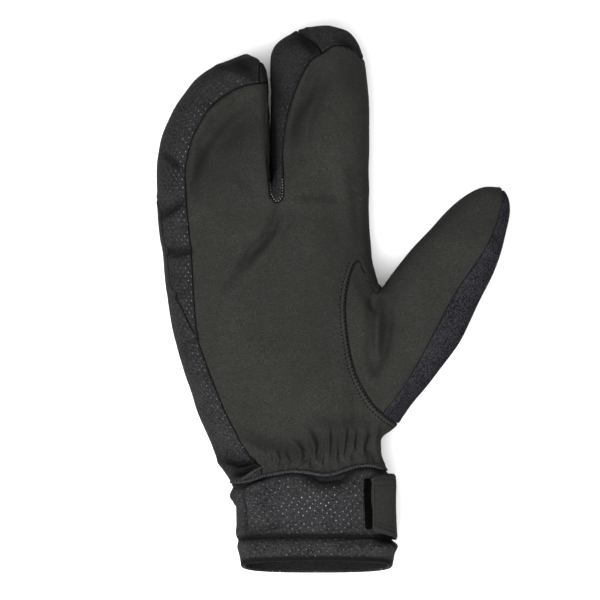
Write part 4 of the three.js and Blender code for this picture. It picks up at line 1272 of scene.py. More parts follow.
def thickened(points, inner, triangles):
    """Closes a sheet of triangles into a wall with an inner skin and a rim."""
    count = len(points)
    edges = np.vstack([triangles[:, [0, 1]], triangles[:, [1, 2]], triangles[:, [2, 0]]])
    keys = edges[:, 0] * count + edges[:, 1]
    other = edges[:, 1] * count + edges[:, 0]
    a, b = edges[~np.isin(keys, other)].T
    faces = [triangles, triangles[:, ::-1] + count]
    faces.append(np.stack([b, a, a + count], axis=1))
    faces.append(np.stack([b, a + count, b + count], axis=1))
    return np.vstack([points, inner]), np.vstack(faces)


class MITT_OT_materials(bpy.types.Operator):
    """Makes the fabrics that the pieces share"""

    bl_idname = "mitt.materials"
    bl_label = "Make fabrics"

    def execute(self, context):
        own = context.scene.mitt
        suede_material(SUEDE, own.suede_dark, own.suede_light)
        softshell_material(SOFTSHELL, own.softshell, own.dots)
        # tufts per millimetre, and their depth in metres
        pile_material(KNIT, own.knit_dark, own.knit_light, 1.3, 0.0007)
        pile_material(BINDING, own.binding_dark, own.binding_light, 1.6, 0.0003)
        pile_material(LOOP, own.loop_dark, own.loop_light, 1.4, 0.0008)
        thread_material(THREAD, own.thread)
        thread_material(PALE_THREAD, own.pale_thread)
        thread_material(DARK_THREAD, own.dark_thread)
        # Needle holes are near-black beads: painted shade inside the holes
        thread_material(HOLE_SHADE, hex_linear("#040404")[:3])
        return {"FINISHED"}


# Each panel's fabric and the seams round it
PANELS = {
    "thumb_front": (SUEDE, (Panels.THUMB, Panels.SUEDE)),
    "thumb_back": (KNIT, (Panels.THUMB, Panels.SUEDE)),
    "palm_panel": (SUEDE, (Panels.THUMB, Panels.PALM)),
    "back_panel": (SOFTSHELL, (Panels.THUMB, Panels.PALM, Panels.BACK)),
    "split_gusset": (SOFTSHELL, (Panels.PALM, Panels.BACK, Panels.SPLIT)),
    "outer_gusset": (SOFTSHELL, (Panels.PALM, Panels.BACK, Panels.SPLIT)),
    "index_gusset": (SOFTSHELL, (Panels.THUMB, Panels.PALM, Panels.BACK, Panels.SPLIT)),
}

# Painted shade on the softshell, at the lobes' tips, in the split, in the tucks by the wrist seam
# and in the side wall's creases: amount, half width and line
PAINTED_SHADE_ON_SOFTSHELL = (
    (0.62, 4.2, ((-27.0, 114.0), (-13.3, 119.0), (-6.5, 116.0), (-1.0, 109.0))),
    (0.62, 3.4, ((12.0, 133.0), (19.5, 131.0), (24.5, 126.5), (27.0, 120.0))),
    (0.62, 2.8, ((33.0, 131.0), (42.0, 128.5), (49.0, 124.0), (53.5, 116.0))),
    (0.4, 3.6, ((5.0, 118.0), (5.0, 105.0), (5.0, 90.0), (6.0, 60.0))),
    (0.7, 3.4, ((-24.0, -79.0), (-12.0, -83.0), (2.0, -80.5))),
    (0.7, 1.5, ((-20.0, -90.0), (-9.0, -86.6), (2.0, -81.0))),
    (0.5, 2.2, ((-56.0, 27.0), (-44.0, 23.5), (-31.0, 26.0))),
    (0.5, 2.6, ((-54.0, 40.0), (-46.0, 45.0), (-36.0, 51.0))),
    (0.4, 2.0, ((-53.0, 76.0), (-39.0, 63.5))),
)

# Painted shade on the suede, in its hollows and creases and over the lobes: amount, half width and
# line
PAINTED_SHADE_ON_SUEDE = (
    (0.42, 1.9, ((9.0, 54.0), (6.5, 41.0), (3.5, 34.0), (-1.5, 27.5), (-9.0, 19.0), (-22.0, 1.0))),
    (
        0.4,
        2.0,
        ((-33.0, 44.0), (-34.5, 57.0), (-31.7, 66.5), (-27.0, 76.0), (-18.0, 88.0), (-2.0, 99.0)),
    ),
    (0.32, 2.0, ((33.0, 112.0), (25.5, 102.0), (18.0, 92.5), (14.5, 80.0), (13.5, 58.0))),
    (0.34, 9.5, ((-44.0, 46.0), (-30.0, 64.0), (-16.0, 79.0), (4.0, 102.0))),
    (0.2, 9.0, ((-16.0, 92.0), (-11.0, 72.0), (-12.0, 46.0))),
    (0.35, 8.0, ((15.0, 72.0), (20.0, 92.0), (31.0, 106.0), (45.0, 117.0))),
    (0.25, 6.0, ((35.0, 124.0), (43.0, 113.0), (45.0, 98.0))),
    (0.15, 9.0, ((34.0, 45.0), (42.0, 20.0), (46.0, -6.0))),
    (0.3, 6.0, ((-12.0, -73.0), (18.0, -73.0), (46.0, -69.0), (66.0, -66.0))),
    (0.45, 2.4, ((59.5, 4.0), (61.8, -8.0), (61.0, -18.0), (59.0, -28.0), (53.0, -42.0))),
    (0.35, 2.0, ((55.0, 1.0), (53.8, -12.0), (53.3, -26.0))),
    (0.3, 3.0, ((-18.0, -61.0), (-2.5, -68.5), (12.0, -74.0), (22.0, -79.0))),
    (0.3, 3.0, ((20.0, -58.0), (38.0, -62.0), (56.0, -57.0))),
    (0.35, 1.6, ((-8.0, -82.0), (15.0, -86.5), (35.0, -85.0), (60.0, -80.0))),
)
# How much painted shade the softshell panels carry, on the side walls turned from the light, in the
# split between
# # the lobes and underneath, and how much of its print is left on these panels
PAINTED_SHADE_BY_PANEL = {"outer_gusset": 0.35, "index_gusset": 0.3, "split_gusset": 0.5, "back_panel": 0.25}
PRINT_LEFT = {"index_gusset": 0.8, "split_gusset": 0.5, "back_panel": 0.6}
HAND_FILL = 0.5
INNER_RELIEF = 0.7
SIDE_HEIGHT = 32.0

# Amount and half width of the dark line in a seam, its dark join with painted shade in the groove,
# and amount and reach of the painted shade beside it
SEAM_LINE = (0.8, 0.3)
SEAM_TONE = (0.15, 1.0)

# The print far from the palm's seam, what it gains beside the seam and how far that reaches,
# and what it loses at the lobes' tips between two places along y
PRINT_FAR = 0.12
PRINT_GAIN = 0.83
PRINT_REACH = 6.0
TIP_LOSS = 0.65
TIP_FROM = 92.0
TIP_TO = 108.0


def painted_shade_marks(points, normal_z, marks):
    """The sum of the painted shade marks on the parts that look up. A mark is its amount, width,
    line.
    """
    return sum(fold_height(points, *mark) for mark in marks) * (normal_z > 0)


class MITT_OT_hand(bpy.types.Operator):
    """Makes the panels of the hand, cut from one padded surface"""

    bl_idname = "mitt.hand"
    bl_label = "Build hand panels"

    def execute(self, context):
        settings = context.scene.mitt
        points, quads = subdivided_hand()
        panels = Panels(points, triangles_of(points, quads))
        for name, (fabric, seams) in PANELS.items():
            values, triangles = panels.panel(name)
            place, normal = values[:, panels.PLACE], values[:, panels.NORMAL]
            normal = normal / np.linalg.norm(normal, axis=1)[:, None]
            seam = np.abs(values[:, list(seams)]).min(axis=1)
            height = relief(place, normal, seam, settings)[:, None]
            raised = place + normal * height
            raised[:, 2] = np.maximum(raised[:, 2], 0.0)
            inner = place + normal * (INNER_RELIEF * height - settings.wall)
            both, faces = thickened(raised, inner, triangles)
            # Painted shade, with each seam's dark join: in and beside the seams, over the softshell
            # panels and in the listed hollows and creases
            shade = SEAM_LINE[0] * bell(seam, 0, SEAM_LINE[1])
            shade += SEAM_TONE[0] * np.exp(-seam / SEAM_TONE[1]) + PAINTED_SHADE_BY_PANEL.get(name, 0.0)
            shade += painted_shade_marks(place, normal[:, 2], PAINTED_SHADE_ON_SOFTSHELL if name in PAINTED_SHADE_BY_PANEL else PAINTED_SHADE_ON_SUEDE)
            cloth = self.unrolled(panels, values, name == "back_panel")
            fresh = self.print_left(values[:, panels.PALM], place[:, 1]) * PRINT_LEFT.get(name, 1.0)
            attributes = {
                "cloth": np.vstack([cloth, cloth]),
                "shade": np.concatenate([shade, 0 * shade]),
                "print": np.concatenate([fresh, 0 * fresh]),
            }
            faces = faces.tolist()
            finished_piece(name + "_fabric", both, faces, fabric, [name], attributes, HAND_FILL)
            SURFACES[name] = (raised, triangles)
        return {"FINISHED"}

    def unrolled(self, panels, values, is_back):
        """Places on the cloth: seen from above, with the side walls folded outwards."""
        _, y, z = values[:, panels.PLACE].T
        height = np.where((z < middle_at(y)) & is_back, z, SIDE_HEIGHT - z)[:, None]
        flat = values[:, :2] + values[:, [panels.OUT_X, panels.OUT_Y]] * height
        return np.hstack([flat, 0 * height])

    def print_left(self, from_palm, y):
        """The print is fresh beside the palm's seam and worn away towards the tips."""
        fresh = PRINT_FAR + PRINT_GAIN * bell(from_palm, 0, PRINT_REACH)
        return fresh * (1 - TIP_LOSS * smooth(y, TIP_FROM, TIP_TO))


CUFF_MIDDLE = TAB_THICKNESS + SEAM_GAP + CUFF_DEPTH / 2


WAVE_DOWN = 0.3


def wave_on_cuff(x, down):
    """The wrist seam's wave, which dies away over this share of the cuff's length."""
    return wave_at(x) * np.clip(1 - down / WAVE_DOWN, 0, 1)


def cuff_place(down, angle, offset=0.0):
    """Points of the cuff's outside at shares of its length and at angles round it, moved
    outwards by an offset, and the way out."""
    section = cuff_section(np.asarray(down, float))
    angle = np.asarray(angle, float)

    def on(turn):
        c, s = np.cos(turn), np.sin(turn)
        centre = (section["left"] + section["right"]) / 2
        half = (section["right"] - section["left"]) / 2
        depth = np.where(s > 0, section["front"], section["back"])
        bent = np.sign(s) * np.abs(s) ** (2 / CUFF_SQUARE[0])
        x = centre + half * np.sign(c) * np.abs(c) ** (2 / CUFF_SQUARE[0])
        y = section["y"] + section["slant"] / 2 * bent
        return np.stack(np.broadcast_arrays(x, y, depth * bent), axis=-1)

    ahead = on(angle + 0.02) - on(angle - 0.02)
    out = np.stack([ahead[..., 2], 0 * ahead[..., 1], -ahead[..., 0]], axis=-1)
    out /= np.linalg.norm(out, axis=-1)[..., None]
    place = on(angle) + out * np.asarray(offset)[..., None]
    place[..., 2] += CUFF_MIDDLE
    return place, out


def grid_faces(rows, columns, closed_rows=False, closed_columns=True):
    """Quads over a grid of points, row after row."""
    faces = []
    for r in range(rows if closed_rows else rows - 1):
        for c in range(columns if closed_columns else columns - 1):
            a, b = r * columns + c, r * columns + (c + 1) % columns
            n = ((r + 1) % rows) * columns
            faces.append((a, b, n + (c + 1) % columns, n + c))
    return faces


# Folds of the cuff's palm side, as in FOLDS
CUFF_FOLDS = (
    (-2.0, 3.2, ((18.0, -87.0), (29.0, -89.0), (38.0, -89.0), (48.0, -84.5))),
    (0.5, 3.0, ((18.0, -94.0), (31.0, -96.5), (46.0, -93.5))),
    (-1.7, 1.3, ((-17.0, -92.2), (-10.0, -92.5), (-5.0, -89.8), (4.0, -87.5))),
    (-1.1, 0.6, ((-9.5, -93.5), (-9.5, -100.0), (-8.5, -104.0), (-8.3, -116.0))),
    (0.5, 1.4, ((-6.8, -97.0), (-6.5, -106.0), (-6.0, -114.0))),
    (-1.2, 1.5, ((-4.5, -115.5), (2.0, -113.3), (11.0, -111.5))),
    (0.6, 2.5, ((-4.0, -111.5), (5.0, -109.5), (14.0, -108.0))),
    (-0.7, 1.4, ((-6.0, -97.0), (-2.0, -93.5))),
    (0.6, 5.0, ((20.0, -99.0), (36.0, -100.0))),
    (-0.7, 2.0, ((44.0, -120.5), (54.0, -121.5), (60.0, -119.5))),
    (-3.0, 2.4, ((57.0, -117.0), (63.5, -120.5), (66.0, -123.0), (67.5, -128.0))),
    (-1.5, 1.2, ((54.0, -133.5), (58.0, -131.5))),
)

# Painted shade on the cuff, under the wrist seam, along its side seam, in its creases and behind
# the tab, with the same columns as the softshell's painted shade
CUFF_SHADES = (
    (0.95, 3.0, ((18.0, -87.0), (29.0, -89.5), (38.0, -89.5), (48.0, -84.0))),
    (0.4, 1.6, ((-20.0, -92.2), (-10.0, -92.5), (-5.0, -89.8), (6.0, -87.5))),
    (0.5, 0.7, ((-9.5, -91.0), (-9.5, -100.0), (-8.5, -104.0), (-8.3, -119.0))),
    (0.35, 2.0, ((-8.0, -117.0), (2.0, -113.3), (14.0, -110.5))),
    (1.0, 2.6, ((58.0, -116.0), (64.0, -120.5), (66.5, -122.5), (68.5, -128.0))),
    (0.9, 0.9, ((52.0, -132.0), (57.0, -132.5), (60.0, -134.5))),
)
HEM_STITCH_DOWN = 0.665
CUFF_FOLDS_FACTOR = 1.3
CUFF_ARC_RADIUS = 30.0
CUFF_FILL = 0.3

# Bands along the hem's stitches: height, what it gains on the palm side, distance below the
# stitches and half width
HEM_BANDS = ((-0.5, -1.8, 0.9, 1.5), (0.2, 0.8, 5.4, 2.6), (0.4, 0.0, -3.0, 2.0))

# How far the hem's groove strays, as a share of the cuff's length, and its noise
GROOVE_STRAYS = 0.004
GROOVE_NOISE = (9.0, 22)

# How far the hem's tucks and the gathers under the wrist seam reach, and the fabric's dip there
TUCKS_REACH = 2.4
TOP_GATHERS_REACH = 4.5
TOP_DIP = 1.7
TOP_DIP_REACH = 1.5

# The swell on the hem below the tab: height, y, half width, and the x it starts and is full at
HEM_SWELL = (3.2, -122.6, 3.0, 50.0, 60.0)


def cuff_relief(place, out, down, angle):
    """How far the cuff's fabric stands out of its smooth shape."""
    points = place.reshape(-1, 3)
    x, y, _ = points.T
    facing = facing_up(out[..., 2].ravel())
    height = np.zeros(len(points))
    for rise, width, path in CUFF_FOLDS:
        height += CUFF_FOLDS_FACTOR * facing * fold_height(points, rise, width, path)
    top, arc = down.ravel() * CUFF_LENGTH, angle.ravel() * CUFF_ARC_RADIUS
    stitches_at = HEM_STITCH_DOWN + GROOVE_STRAYS * lattice_noise(points, *GROOVE_NOISE)
    off = top - stitches_at * CUFF_LENGTH
    for rise, more, below, width in HEM_BANDS:
        height += (rise + more * facing) * bell(off, below, width)
    height += gathers(points, arc, *HEM_TUCKS) * bell(off, 0, TUCKS_REACH)
    height += gathers(points, arc, *CUFF_TOP_GATHERS) * np.exp(-top / TOP_GATHERS_REACH)
    height -= TOP_DIP * np.exp(-top / TOP_DIP_REACH)
    for rise, length, seed in CUFF_WAVES:
        height += rise * lattice_noise(points, length, seed)
    rise, middle, width, start, full = HEM_SWELL
    height += rise * bell(y, middle, width) * smooth(x, start, full)
    return height.reshape(place.shape[:-1])


class MITT_OT_cuff(bpy.types.Operator):
    """Makes the open cuff with its turned hem"""

    bl_idname = "mitt.cuff"
    bl_label = "Build cuff"

    # columns round the cuff, and its rows as shares of its length
    COLUMNS = 300
    TOP = 0.012
    HEM = CUFF.rows[-1][0]
    OUTSIDE = np.concatenate([np.linspace(TOP, 0.6, 56), np.linspace(0.61, HEM, 34)])
    ROLL = np.linspace(0, math.pi, 9)[1:-1]
    INSIDE = np.linspace(HEM, TOP, 24)

    # what the relief keeps inside, the rows there that are smooth, and the lowest point
    INSIDE_RELIEF = 0.35
    SMOOTH_ROWS = 12
    LOWEST = 0.4
    # painted shade inside the cuff
    INSIDE_SHADE = 0.7
    BIAS = math.radians(6)

    def execute(self, context):
        angle = np.arange(self.COLUMNS) * 2 * math.pi / self.COLUMNS
        down, offset, drop = self.profile()
        down, turns = np.broadcast_arrays(down, angle)
        place, out = cuff_place(down, turns, offset + 0 * down)
        place[..., 1] += wave_on_cuff(place[..., 0], down) + drop
        kept = np.ones(len(down))
        kept[-len(self.INSIDE) :] = self.INSIDE_RELIEF
        kept[-self.SMOOTH_ROWS :] = 0
        height = cuff_relief(place, out, down, turns) * kept[:, None]
        raised = place + out * height[..., None]
        raised[..., 2] = np.maximum(raised[..., 2], self.LOWEST)
        points = raised.reshape(-1, 3)
        attributes = {
            "cloth": self.unrolled(down, angle),
            "shade": self.shade(place, out, down),
            "print": self.print_left(points),
        }
        faces = grid_faces(len(down), self.COLUMNS, closed_rows=True)
        finished_piece("cuff_fabric", points, faces, SOFTSHELL, ["cuff"], attributes, CUFF_FILL)
        outside = np.array(grid_faces(len(self.OUTSIDE), self.COLUMNS))
        triangles = triangles_of(points, outside)
        SURFACES["cuff"] = (points[: len(self.OUTSIDE) * self.COLUMNS], triangles)
        return {"FINISHED"}

    def profile(self):
        """Shares of the length, ways out and drops: down the outside, round the hem, up inside."""
        flat, radius, inside = 0 * self.OUTSIDE, CUFF_WALL / 2, 0 * self.INSIDE
        down = [self.OUTSIDE, self.HEM + 0 * self.ROLL, self.INSIDE]
        offset = [flat, radius * (np.cos(self.ROLL) - 1), inside - CUFF_WALL]
        drop = [flat, -radius * np.sin(self.ROLL), inside]
        return [np.concatenate(column)[:, None] for column in (down, offset, drop)]

    def unrolled(self, down, angle):
        """Places on the cloth: round the cuff and down it, cut a little on the bias."""
        middle, _ = cuff_place(np.full(self.COLUMNS + 1, 0.5), np.append(angle, 2 * math.pi))
        arc = np.concatenate([[0], np.cumsum(np.linalg.norm(np.diff(middle, axis=0), axis=1))])
        around = np.broadcast_to(arc[:-1], down.shape)
        cloth = np.stack([around, -down * CUFF_LENGTH, 0 * down], axis=-1).reshape(-1, 3)
        c, s = math.cos(self.BIAS), math.sin(self.BIAS)
        cloth[:, :2] = cloth[:, :2] @ np.array([[c, s], [-s, c]])
        return cloth

    def shade(self, place, out, down):
        """Painted shade: darker in the hem's groove, under the wrist seam, at the hem's edge where
        it turns under and inside, and a little darker everywhere.
        """
        off, top = (down - HEM_STITCH_DOWN) * CUFF_LENGTH, down * CUFF_LENGTH
        shade = 0.14 + 0.75 * bell(off, 0.8, 1.9) + 0.95 * bell(top, 1.2, 1.8)
        marks = painted_shade_marks(place.reshape(-1, 3), out[..., 2].ravel(), CUFF_SHADES)
        shade += marks.reshape(down.shape)
        shade += 0.9 * smooth(down, self.HEM - 0.05, self.HEM - 0.01) * (out[..., 2] > 0)
        shade[-len(self.INSIDE) :] = self.INSIDE_SHADE
        return shade.ravel()

    def print_left(self, points):
        """The print is fresh in the middle of the palm side, along the hem and underneath."""
        x, y, z = points.T
        fresh = 0.15 + 0.85 * bell(x, 28, 26) * bell(y, -101, 15)
        fresh = np.maximum(fresh, 0.6 * (z < 15))
        fresh = np.maximum(fresh, 0.7 * bell(y, -127, 4) * bell(x, 25, 28))
        fresh[-len(self.INSIDE) * self.COLUMNS :] = 0
        return fresh


def tube(path, ups, radius, sides=10, closed=False):
    """Points and faces of a tube along a path, whose radius may change along it."""
    path = np.asarray(path, float)
    radius = np.broadcast_to(radius, len(path))
    if closed:
        ahead = np.roll(path, -1, axis=0) - np.roll(path, 1, axis=0)
    else:
        ahead = np.gradient(path, axis=0)
    ahead /= np.linalg.norm(ahead, axis=1)[:, None]
    side = np.cross(ahead, ups)
    side /= np.linalg.norm(side, axis=1)[:, None]
    up = np.cross(side, ahead)
    turn = np.arange(sides) * 2 * math.pi / sides
    ring = side[:, None] * np.cos(turn)[:, None] + up[:, None] * np.sin(turn)[:, None]
    points = (path[:, None] + ring * radius[:, None, None]).reshape(-1, 3)
    faces = grid_faces(len(path), sides, closed_rows=closed)
    if not closed:
        faces.append(tuple(range(sides - 1, -1, -1)))
        faces.append(tuple(range(len(points) - sides, len(points))))
    return points, faces


def joined(parts):
    """Points and faces of several shapes as one."""
    points, faces, start = [], [], 0
    for some, polygons in parts:
        points.append(some)
        faces += [tuple(i + start for i in polygon) for polygon in polygons]
        start += len(some)
    return np.vstack(points), faces


def spaced(path, step):
    """The same line with points a step apart."""
    path = np.asarray(path, float)
    run = np.concatenate([[0], np.cumsum(np.linalg.norm(np.diff(path, axis=0), axis=1))])
    at = np.linspace(0, run[-1], max(2, int(run[-1] / step) + 1))
    return np.stack([np.interp(at, run, path[:, k]) for k in range(path.shape[1])], axis=1)


def sideways(path, offset):
    """A line in the plane moved to its left."""
    ahead = np.gradient(path, axis=0)
    ahead /= np.linalg.norm(ahead, axis=1)[:, None]
    return path + np.stack([-ahead[:, 1], ahead[:, 0]], axis=1) * offset


def on_surface(path, names, lift=0.0):
    """Runs of places and normals where a line seen from above meets the palm side."""
    tree = tree_of(names)
    runs, run = [], []
    for x, y in path:
        hit, normal, _, _ = tree.ray_cast(Vector((x, y, 80.0)), Vector((0, 0, -1)))
        if hit is None or normal.z < 0.12:
            if len(run) > 2:
                runs.append(run)
            run = []
            continue
        run.append((*(hit + normal * lift), *normal))
    if len(run) > 2:
        runs.append(run)
    return [np.array(run) for run in runs]


TREES = {}


def tree_of(names):
    """A tree for rays onto these finished surfaces, which is kept once it is made."""
    if names not in TREES:
        points, faces = joined([SURFACES[name] for name in names])
        TREES[names] = BVHTree.FromPolygons(points.tolist(), faces)
    return TREES[names]


# The wrist seam is sunk in the fabric underneath and stands proud on the palm side, less so on
# the little-finger side. It is a cord of even twists with a short branch.
SEAM_SUNK = -0.9
SEAM_PROUD = 1.0
THIN_SIDE = 0.45
WRIST_SEAM_POINTS = 720
TWIST_LENGTH = 1.5
BRANCH_LINE = ((-12.2, -90.6), (-8.5, -88.0), (-3.5, -84.6), (0.8, -82.4))
BRANCH_RADIUS = 0.9


class MITT_OT_wrist_seam(bpy.types.Operator):
    """Makes the rolled seam between the gathered hand and the cuff"""

    bl_idname = "mitt.wrist_seam"
    bl_label = "Build wrist seam"

    def execute(self, context):
        angle = np.arange(WRIST_SEAM_POINTS) * 2 * math.pi / WRIST_SEAM_POINTS
        full = smooth(np.sin(angle), 0.25, 0.7)
        offset = SEAM_SUNK + (SEAM_PROUD - SEAM_SUNK) * full
        seat, out = cuff_place(np.zeros(len(angle)), angle, offset)
        full *= THIN_SIDE + (1 - THIN_SIDE) * smooth(seat[:, 0], -4.0, 0.5)
        seat[:, 1] += wave_at(seat[:, 0]) - SEAM_GAP
        run = np.cumsum(np.linalg.norm(np.diff(seat, axis=0, append=seat[:1]), axis=1))
        twist = np.sin(run * 2 * math.pi / TWIST_LENGTH)
        bead = 1 + 0.2 * twist + 0.1 * lattice_noise(seat, 6.0, 31)
        seat[:, 1] += 0.3 * lattice_noise(seat, 9.0, 32)
        parts = [tube(seat, out, RIDGE_RADIUS * (0.5 + 0.35 * full) * bead, closed=True)]
        fabric = ("palm_panel", "back_panel", "outer_gusset")
        for found in on_surface(spaced(BRANCH_LINE, 0.4), fabric):
            size = BRANCH_RADIUS * np.sin(np.linspace(0.5, math.pi - 0.3, len(found)))
            parts.append(tube(found[:, :3], found[:, 3:], size))
        points, faces = joined(parts)
        finished_piece("wrist_seam", points, faces, BINDING, ["cuff_seam"])
        return {"FINISHED"}


# The straps lie between these angles round the cuff, in degrees: 0 is the thumb side
TAB_ANGLES = (-70, 47)
LOOP_ANGLES = (28, 53)
LOOP_CORNER = 1.0
STRAP_EDGE = 0.8
STRAP_END = 0.9


def strap(angles, width, thickness, end_corner, flare, stations, seat_at, bend):
    """A flat strap with rounded edges, laid round the cuff, with round corners at its end."""
    first, last = (math.radians(angle) for angle in angles)
    middle_y = WRIST_Y - TAB_DOWN * CUFF_LENGTH
    across = np.linspace(-1, 1, 25)
    loops = []
    for share in 1 - (1 - np.linspace(0, 1, stations)) ** 1.6:
        angle = first + (last - first) * share
        here, end = cuff_place([TAB_DOWN] * 2, [angle, last])[0]
        to_end = float(np.linalg.norm(here - end))
        cut = max(0.0, end_corner - to_end)
        half = width / 2 - (end_corner - math.sqrt(max(0.0, end_corner ** 2 - cut ** 2)))
        rounded = 1 - min(1.0, (to_end + 0.12) / STRAP_END)
        body = thickness * math.sqrt(1 - rounded ** 2)
        seat = seat_at(share) + (thickness - body) / 2
        loop = []
        for side in (1, -1):
            for part in across if side > 0 else across[::-1]:
                rounded = 1 - min(1.0, (1 - abs(part)) * half / STRAP_EDGE + 0.06)
                bulge = math.sqrt(1 - rounded ** 2)
                extra = flare * float(smooth(1 - share, 0, 0.45)) if part < 0 else 0.0
                y = middle_y + part * (half + extra)
                offset = seat + body / 2 * (1 + side * bulge) + bend(share, part)
                down = min(max((WRIST_Y - y) / CUFF_LENGTH, 0), 1)
                point, _ = cuff_place(down, angle, offset)
                loop.append((point[0], y, point[2]))
        loops.append(loop)
    points = np.array(loops).reshape(-1, 3)
    columns = 2 * len(across)
    faces = grid_faces(stations, columns)
    faces.append(tuple(range(columns)))
    faces.append(tuple(range(len(points) - 1, len(points) - columns - 1, -1)))
    return points, outwards(points, faces)


def outwards(points, faces):
    """Turns all faces round where they point into the shape."""
    volume = 0.0
    for face in faces:
        for k in range(1, len(face) - 1):
            volume += np.dot(points[face[0]], np.cross(points[face[k]], points[face[k + 1]]))
    return faces if volume > 0 else [tuple(face[::-1]) for face in faces]


def tab_seat(share):
    """The tab leaves the cuff to pass over the loop patch."""
    return STRAP_CLEARANCE + (LOOP_THICKNESS + SEAM_GAP) * float(smooth(share, 0.5, 0.75))


def tab_bend(share, part):
    """The tab isn't quite flat."""
    return 0.25 * math.sin(7 * share + 2 * part) * (1 - part ** 2)


def loop_seat(share):
    """The loop patch lies close to the cuff."""
    return STRAP_CLEARANCE


def loop_bend(share, part):
    """The loop patch is flat."""
    return 0.0


class MITT_OT_closure(bpy.types.Operator):
    """Makes the closure tab and the loop patch under its end"""

    bl_idname = "mitt.closure"
    bl_label = "Build closure"

    def execute(self, context):
        tab = (TAB_ANGLES, TAB_WIDTH, TAB_THICKNESS, TAB_CORNER, TAB_FLARE, 150)
        patch = (LOOP_ANGLES, LOOP_WIDTH, LOOP_THICKNESS, LOOP_CORNER, 0.0, 60)
        for node, finish, sizes, seat, bend, fabric in (
            ("closure_tab", "_fabric", tab, tab_seat, tab_bend, SUEDE),
            ("loop_patch", "_pile", patch, loop_seat, loop_bend, LOOP),
        ):
            points, faces = strap(*sizes, seat, bend)
            finished_piece(node + finish, points, faces, fabric, [node])
            quads = np.array([face for face in faces if len(face) == 4])
            SURFACES[node] = (points, triangles_of(points, quads))
        return {"FINISHED"}


STITCH_INPUTS = (
    ("Lines", "NodeSocketGeometry", None),
    ("Pitch", "NodeSocketFloat", 0.002),
    ("Length", "NodeSocketFloat", 0.0015),
    ("Width", "NodeSocketFloat", 0.0004),
    ("Lean", "NodeSocketFloat", 0.0),
    ("Seed", "NodeSocketInt", 1),
    ("Thread", "NodeSocketMaterial", None),
)
STITCH_FLATNESS = 0.7
STITCH_SEED = 1


def stitch_tree():
    """Geometry Nodes that set stitches a pitch apart along lines on the fabric."""
    tree = bpy.data.node_groups.new("Stitches along a line", "GeometryNodeTree")
    kinds = [(*row, "INPUT") for row in STITCH_INPUTS]
    kinds.append(("Stitches", "NodeSocketGeometry", None, "OUTPUT"))
    for name, kind, default, way in kinds:
        socket = tree.interface.new_socket(name=name, in_out=way, socket_type=kind)
        if default is not None:
            socket.default_value = default
    given = add_node(tree, "NodeGroupInput").outputs
    curve = add_node(tree, "GeometryNodeMeshToCurve", {"Mesh": given["Lines"]}).outputs[0]
    wanted = {"Curve": curve, "Length": given["Pitch"]}
    points = add_node(tree, "GeometryNodeResampleCurve", wanted, mode="LENGTH")
    ahead = add_node(tree, "GeometryNodeInputTangent").outputs[0]
    kind = "GeometryNodeInputNamedAttribute"
    up = add_node(tree, kind, {"Name": "up"}, data_type="FLOAT_VECTOR").outputs[0]
    wanted = {"Vector": ahead, "Axis": up, "Angle": given["Lean"]}
    turned = add_node(tree, "ShaderNodeVectorRotate", wanted, rotation_type="AXIS_ANGLE")
    wanted = {"Primary Axis": turned.outputs[0], "Secondary Axis": up}
    kind = "FunctionNodeAxesToRotation"
    rotation = add_node(tree, kind, wanted, primary_axis="Z", secondary_axis="X")
    wanted = {2: 0.85, 3: 1.15, "Seed": given["Seed"]}
    vary = add_node(tree, "FunctionNodeRandomValue", wanted, data_type="FLOAT")
    wanted = {0: given["Length"], 1: vary.outputs[1]}
    length = add_node(tree, "ShaderNodeMath", wanted, operation="MULTIPLY")
    wanted = {0: given["Width"], 1: STITCH_FLATNESS}
    flat = add_node(tree, "ShaderNodeMath", wanted, operation="MULTIPLY")
    wanted = {"X": flat.outputs[0], "Y": given["Width"], "Z": length.outputs[0]}
    scale = add_node(tree, "ShaderNodeCombineXYZ", wanted)
    wanted = {"Segments": 6, "Rings": 5, "Radius": 0.5}
    bead = add_node(tree, "GeometryNodeMeshUVSphere", wanted)
    wanted = {"Points": points.outputs[0], "Instance": bead.outputs["Mesh"]}
    wanted.update({"Rotation": rotation.outputs[0], "Scale": scale.outputs[0]})
    placed = add_node(tree, "GeometryNodeInstanceOnPoints", wanted).outputs[0]
    real = add_node(tree, "GeometryNodeRealizeInstances", {"Geometry": placed}).outputs[0]
    wanted = {"Geometry": real, "Material": given["Thread"]}
    done = add_node(tree, "GeometryNodeSetMaterial", wanted).outputs[0]
    add_node(tree, "NodeGroupOutput", {"Stitches": done})
    return tree


def stitches(tree, name, runs, pitch, length, width, lean, thread, fabric):
    """Sets stitches along runs of places and normals and keeps them as a plain mesh."""
    runs = [run for run in runs if len(run) > 1]
    points = np.vstack([run[:, :3] for run in runs]) * 0.001
    ups = np.vstack([run[:, 3:] for run in runs])
    edges, start = [], 0
    for run in runs:
        edges += [(start + k, start + k + 1) for k in range(len(run) - 1)]
        start += len(run)
    lines = bpy.data.meshes.new(name + "_lines")
    lines.from_pydata(points.tolist(), edges, [])
    lines.attributes.new("up", "FLOAT_VECTOR", "POINT").data.foreach_set("vector", ups.ravel())
    holder = bpy.data.objects.new(name + "_lines", lines)
    bpy.context.scene.collection.objects.link(holder)
    modifier = holder.modifiers.new("Stitches", "NODES")
    modifier.node_group = tree
    values = {"Lean": lean, "Seed": STITCH_SEED, "Thread": bpy.data.materials[thread]}
    for key, size in (("Pitch", pitch), ("Length", length), ("Width", width)):
        values[key] = size * 0.001
    for item in tree.interface.items_tree:
        if item.in_out == "INPUT" and item.name in values:
            modifier[item.identifier] = values[item.name]
    graph = bpy.context.evaluated_depsgraph_get()
    mesh = bpy.data.meshes.new_from_object(holder.evaluated_get(graph))
    bpy.data.objects.remove(holder)
    mesh.name = name
    made = bpy.data.objects.new(name, mesh)
    bpy.context.scene.collection.objects.link(made)
    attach(made, "root")


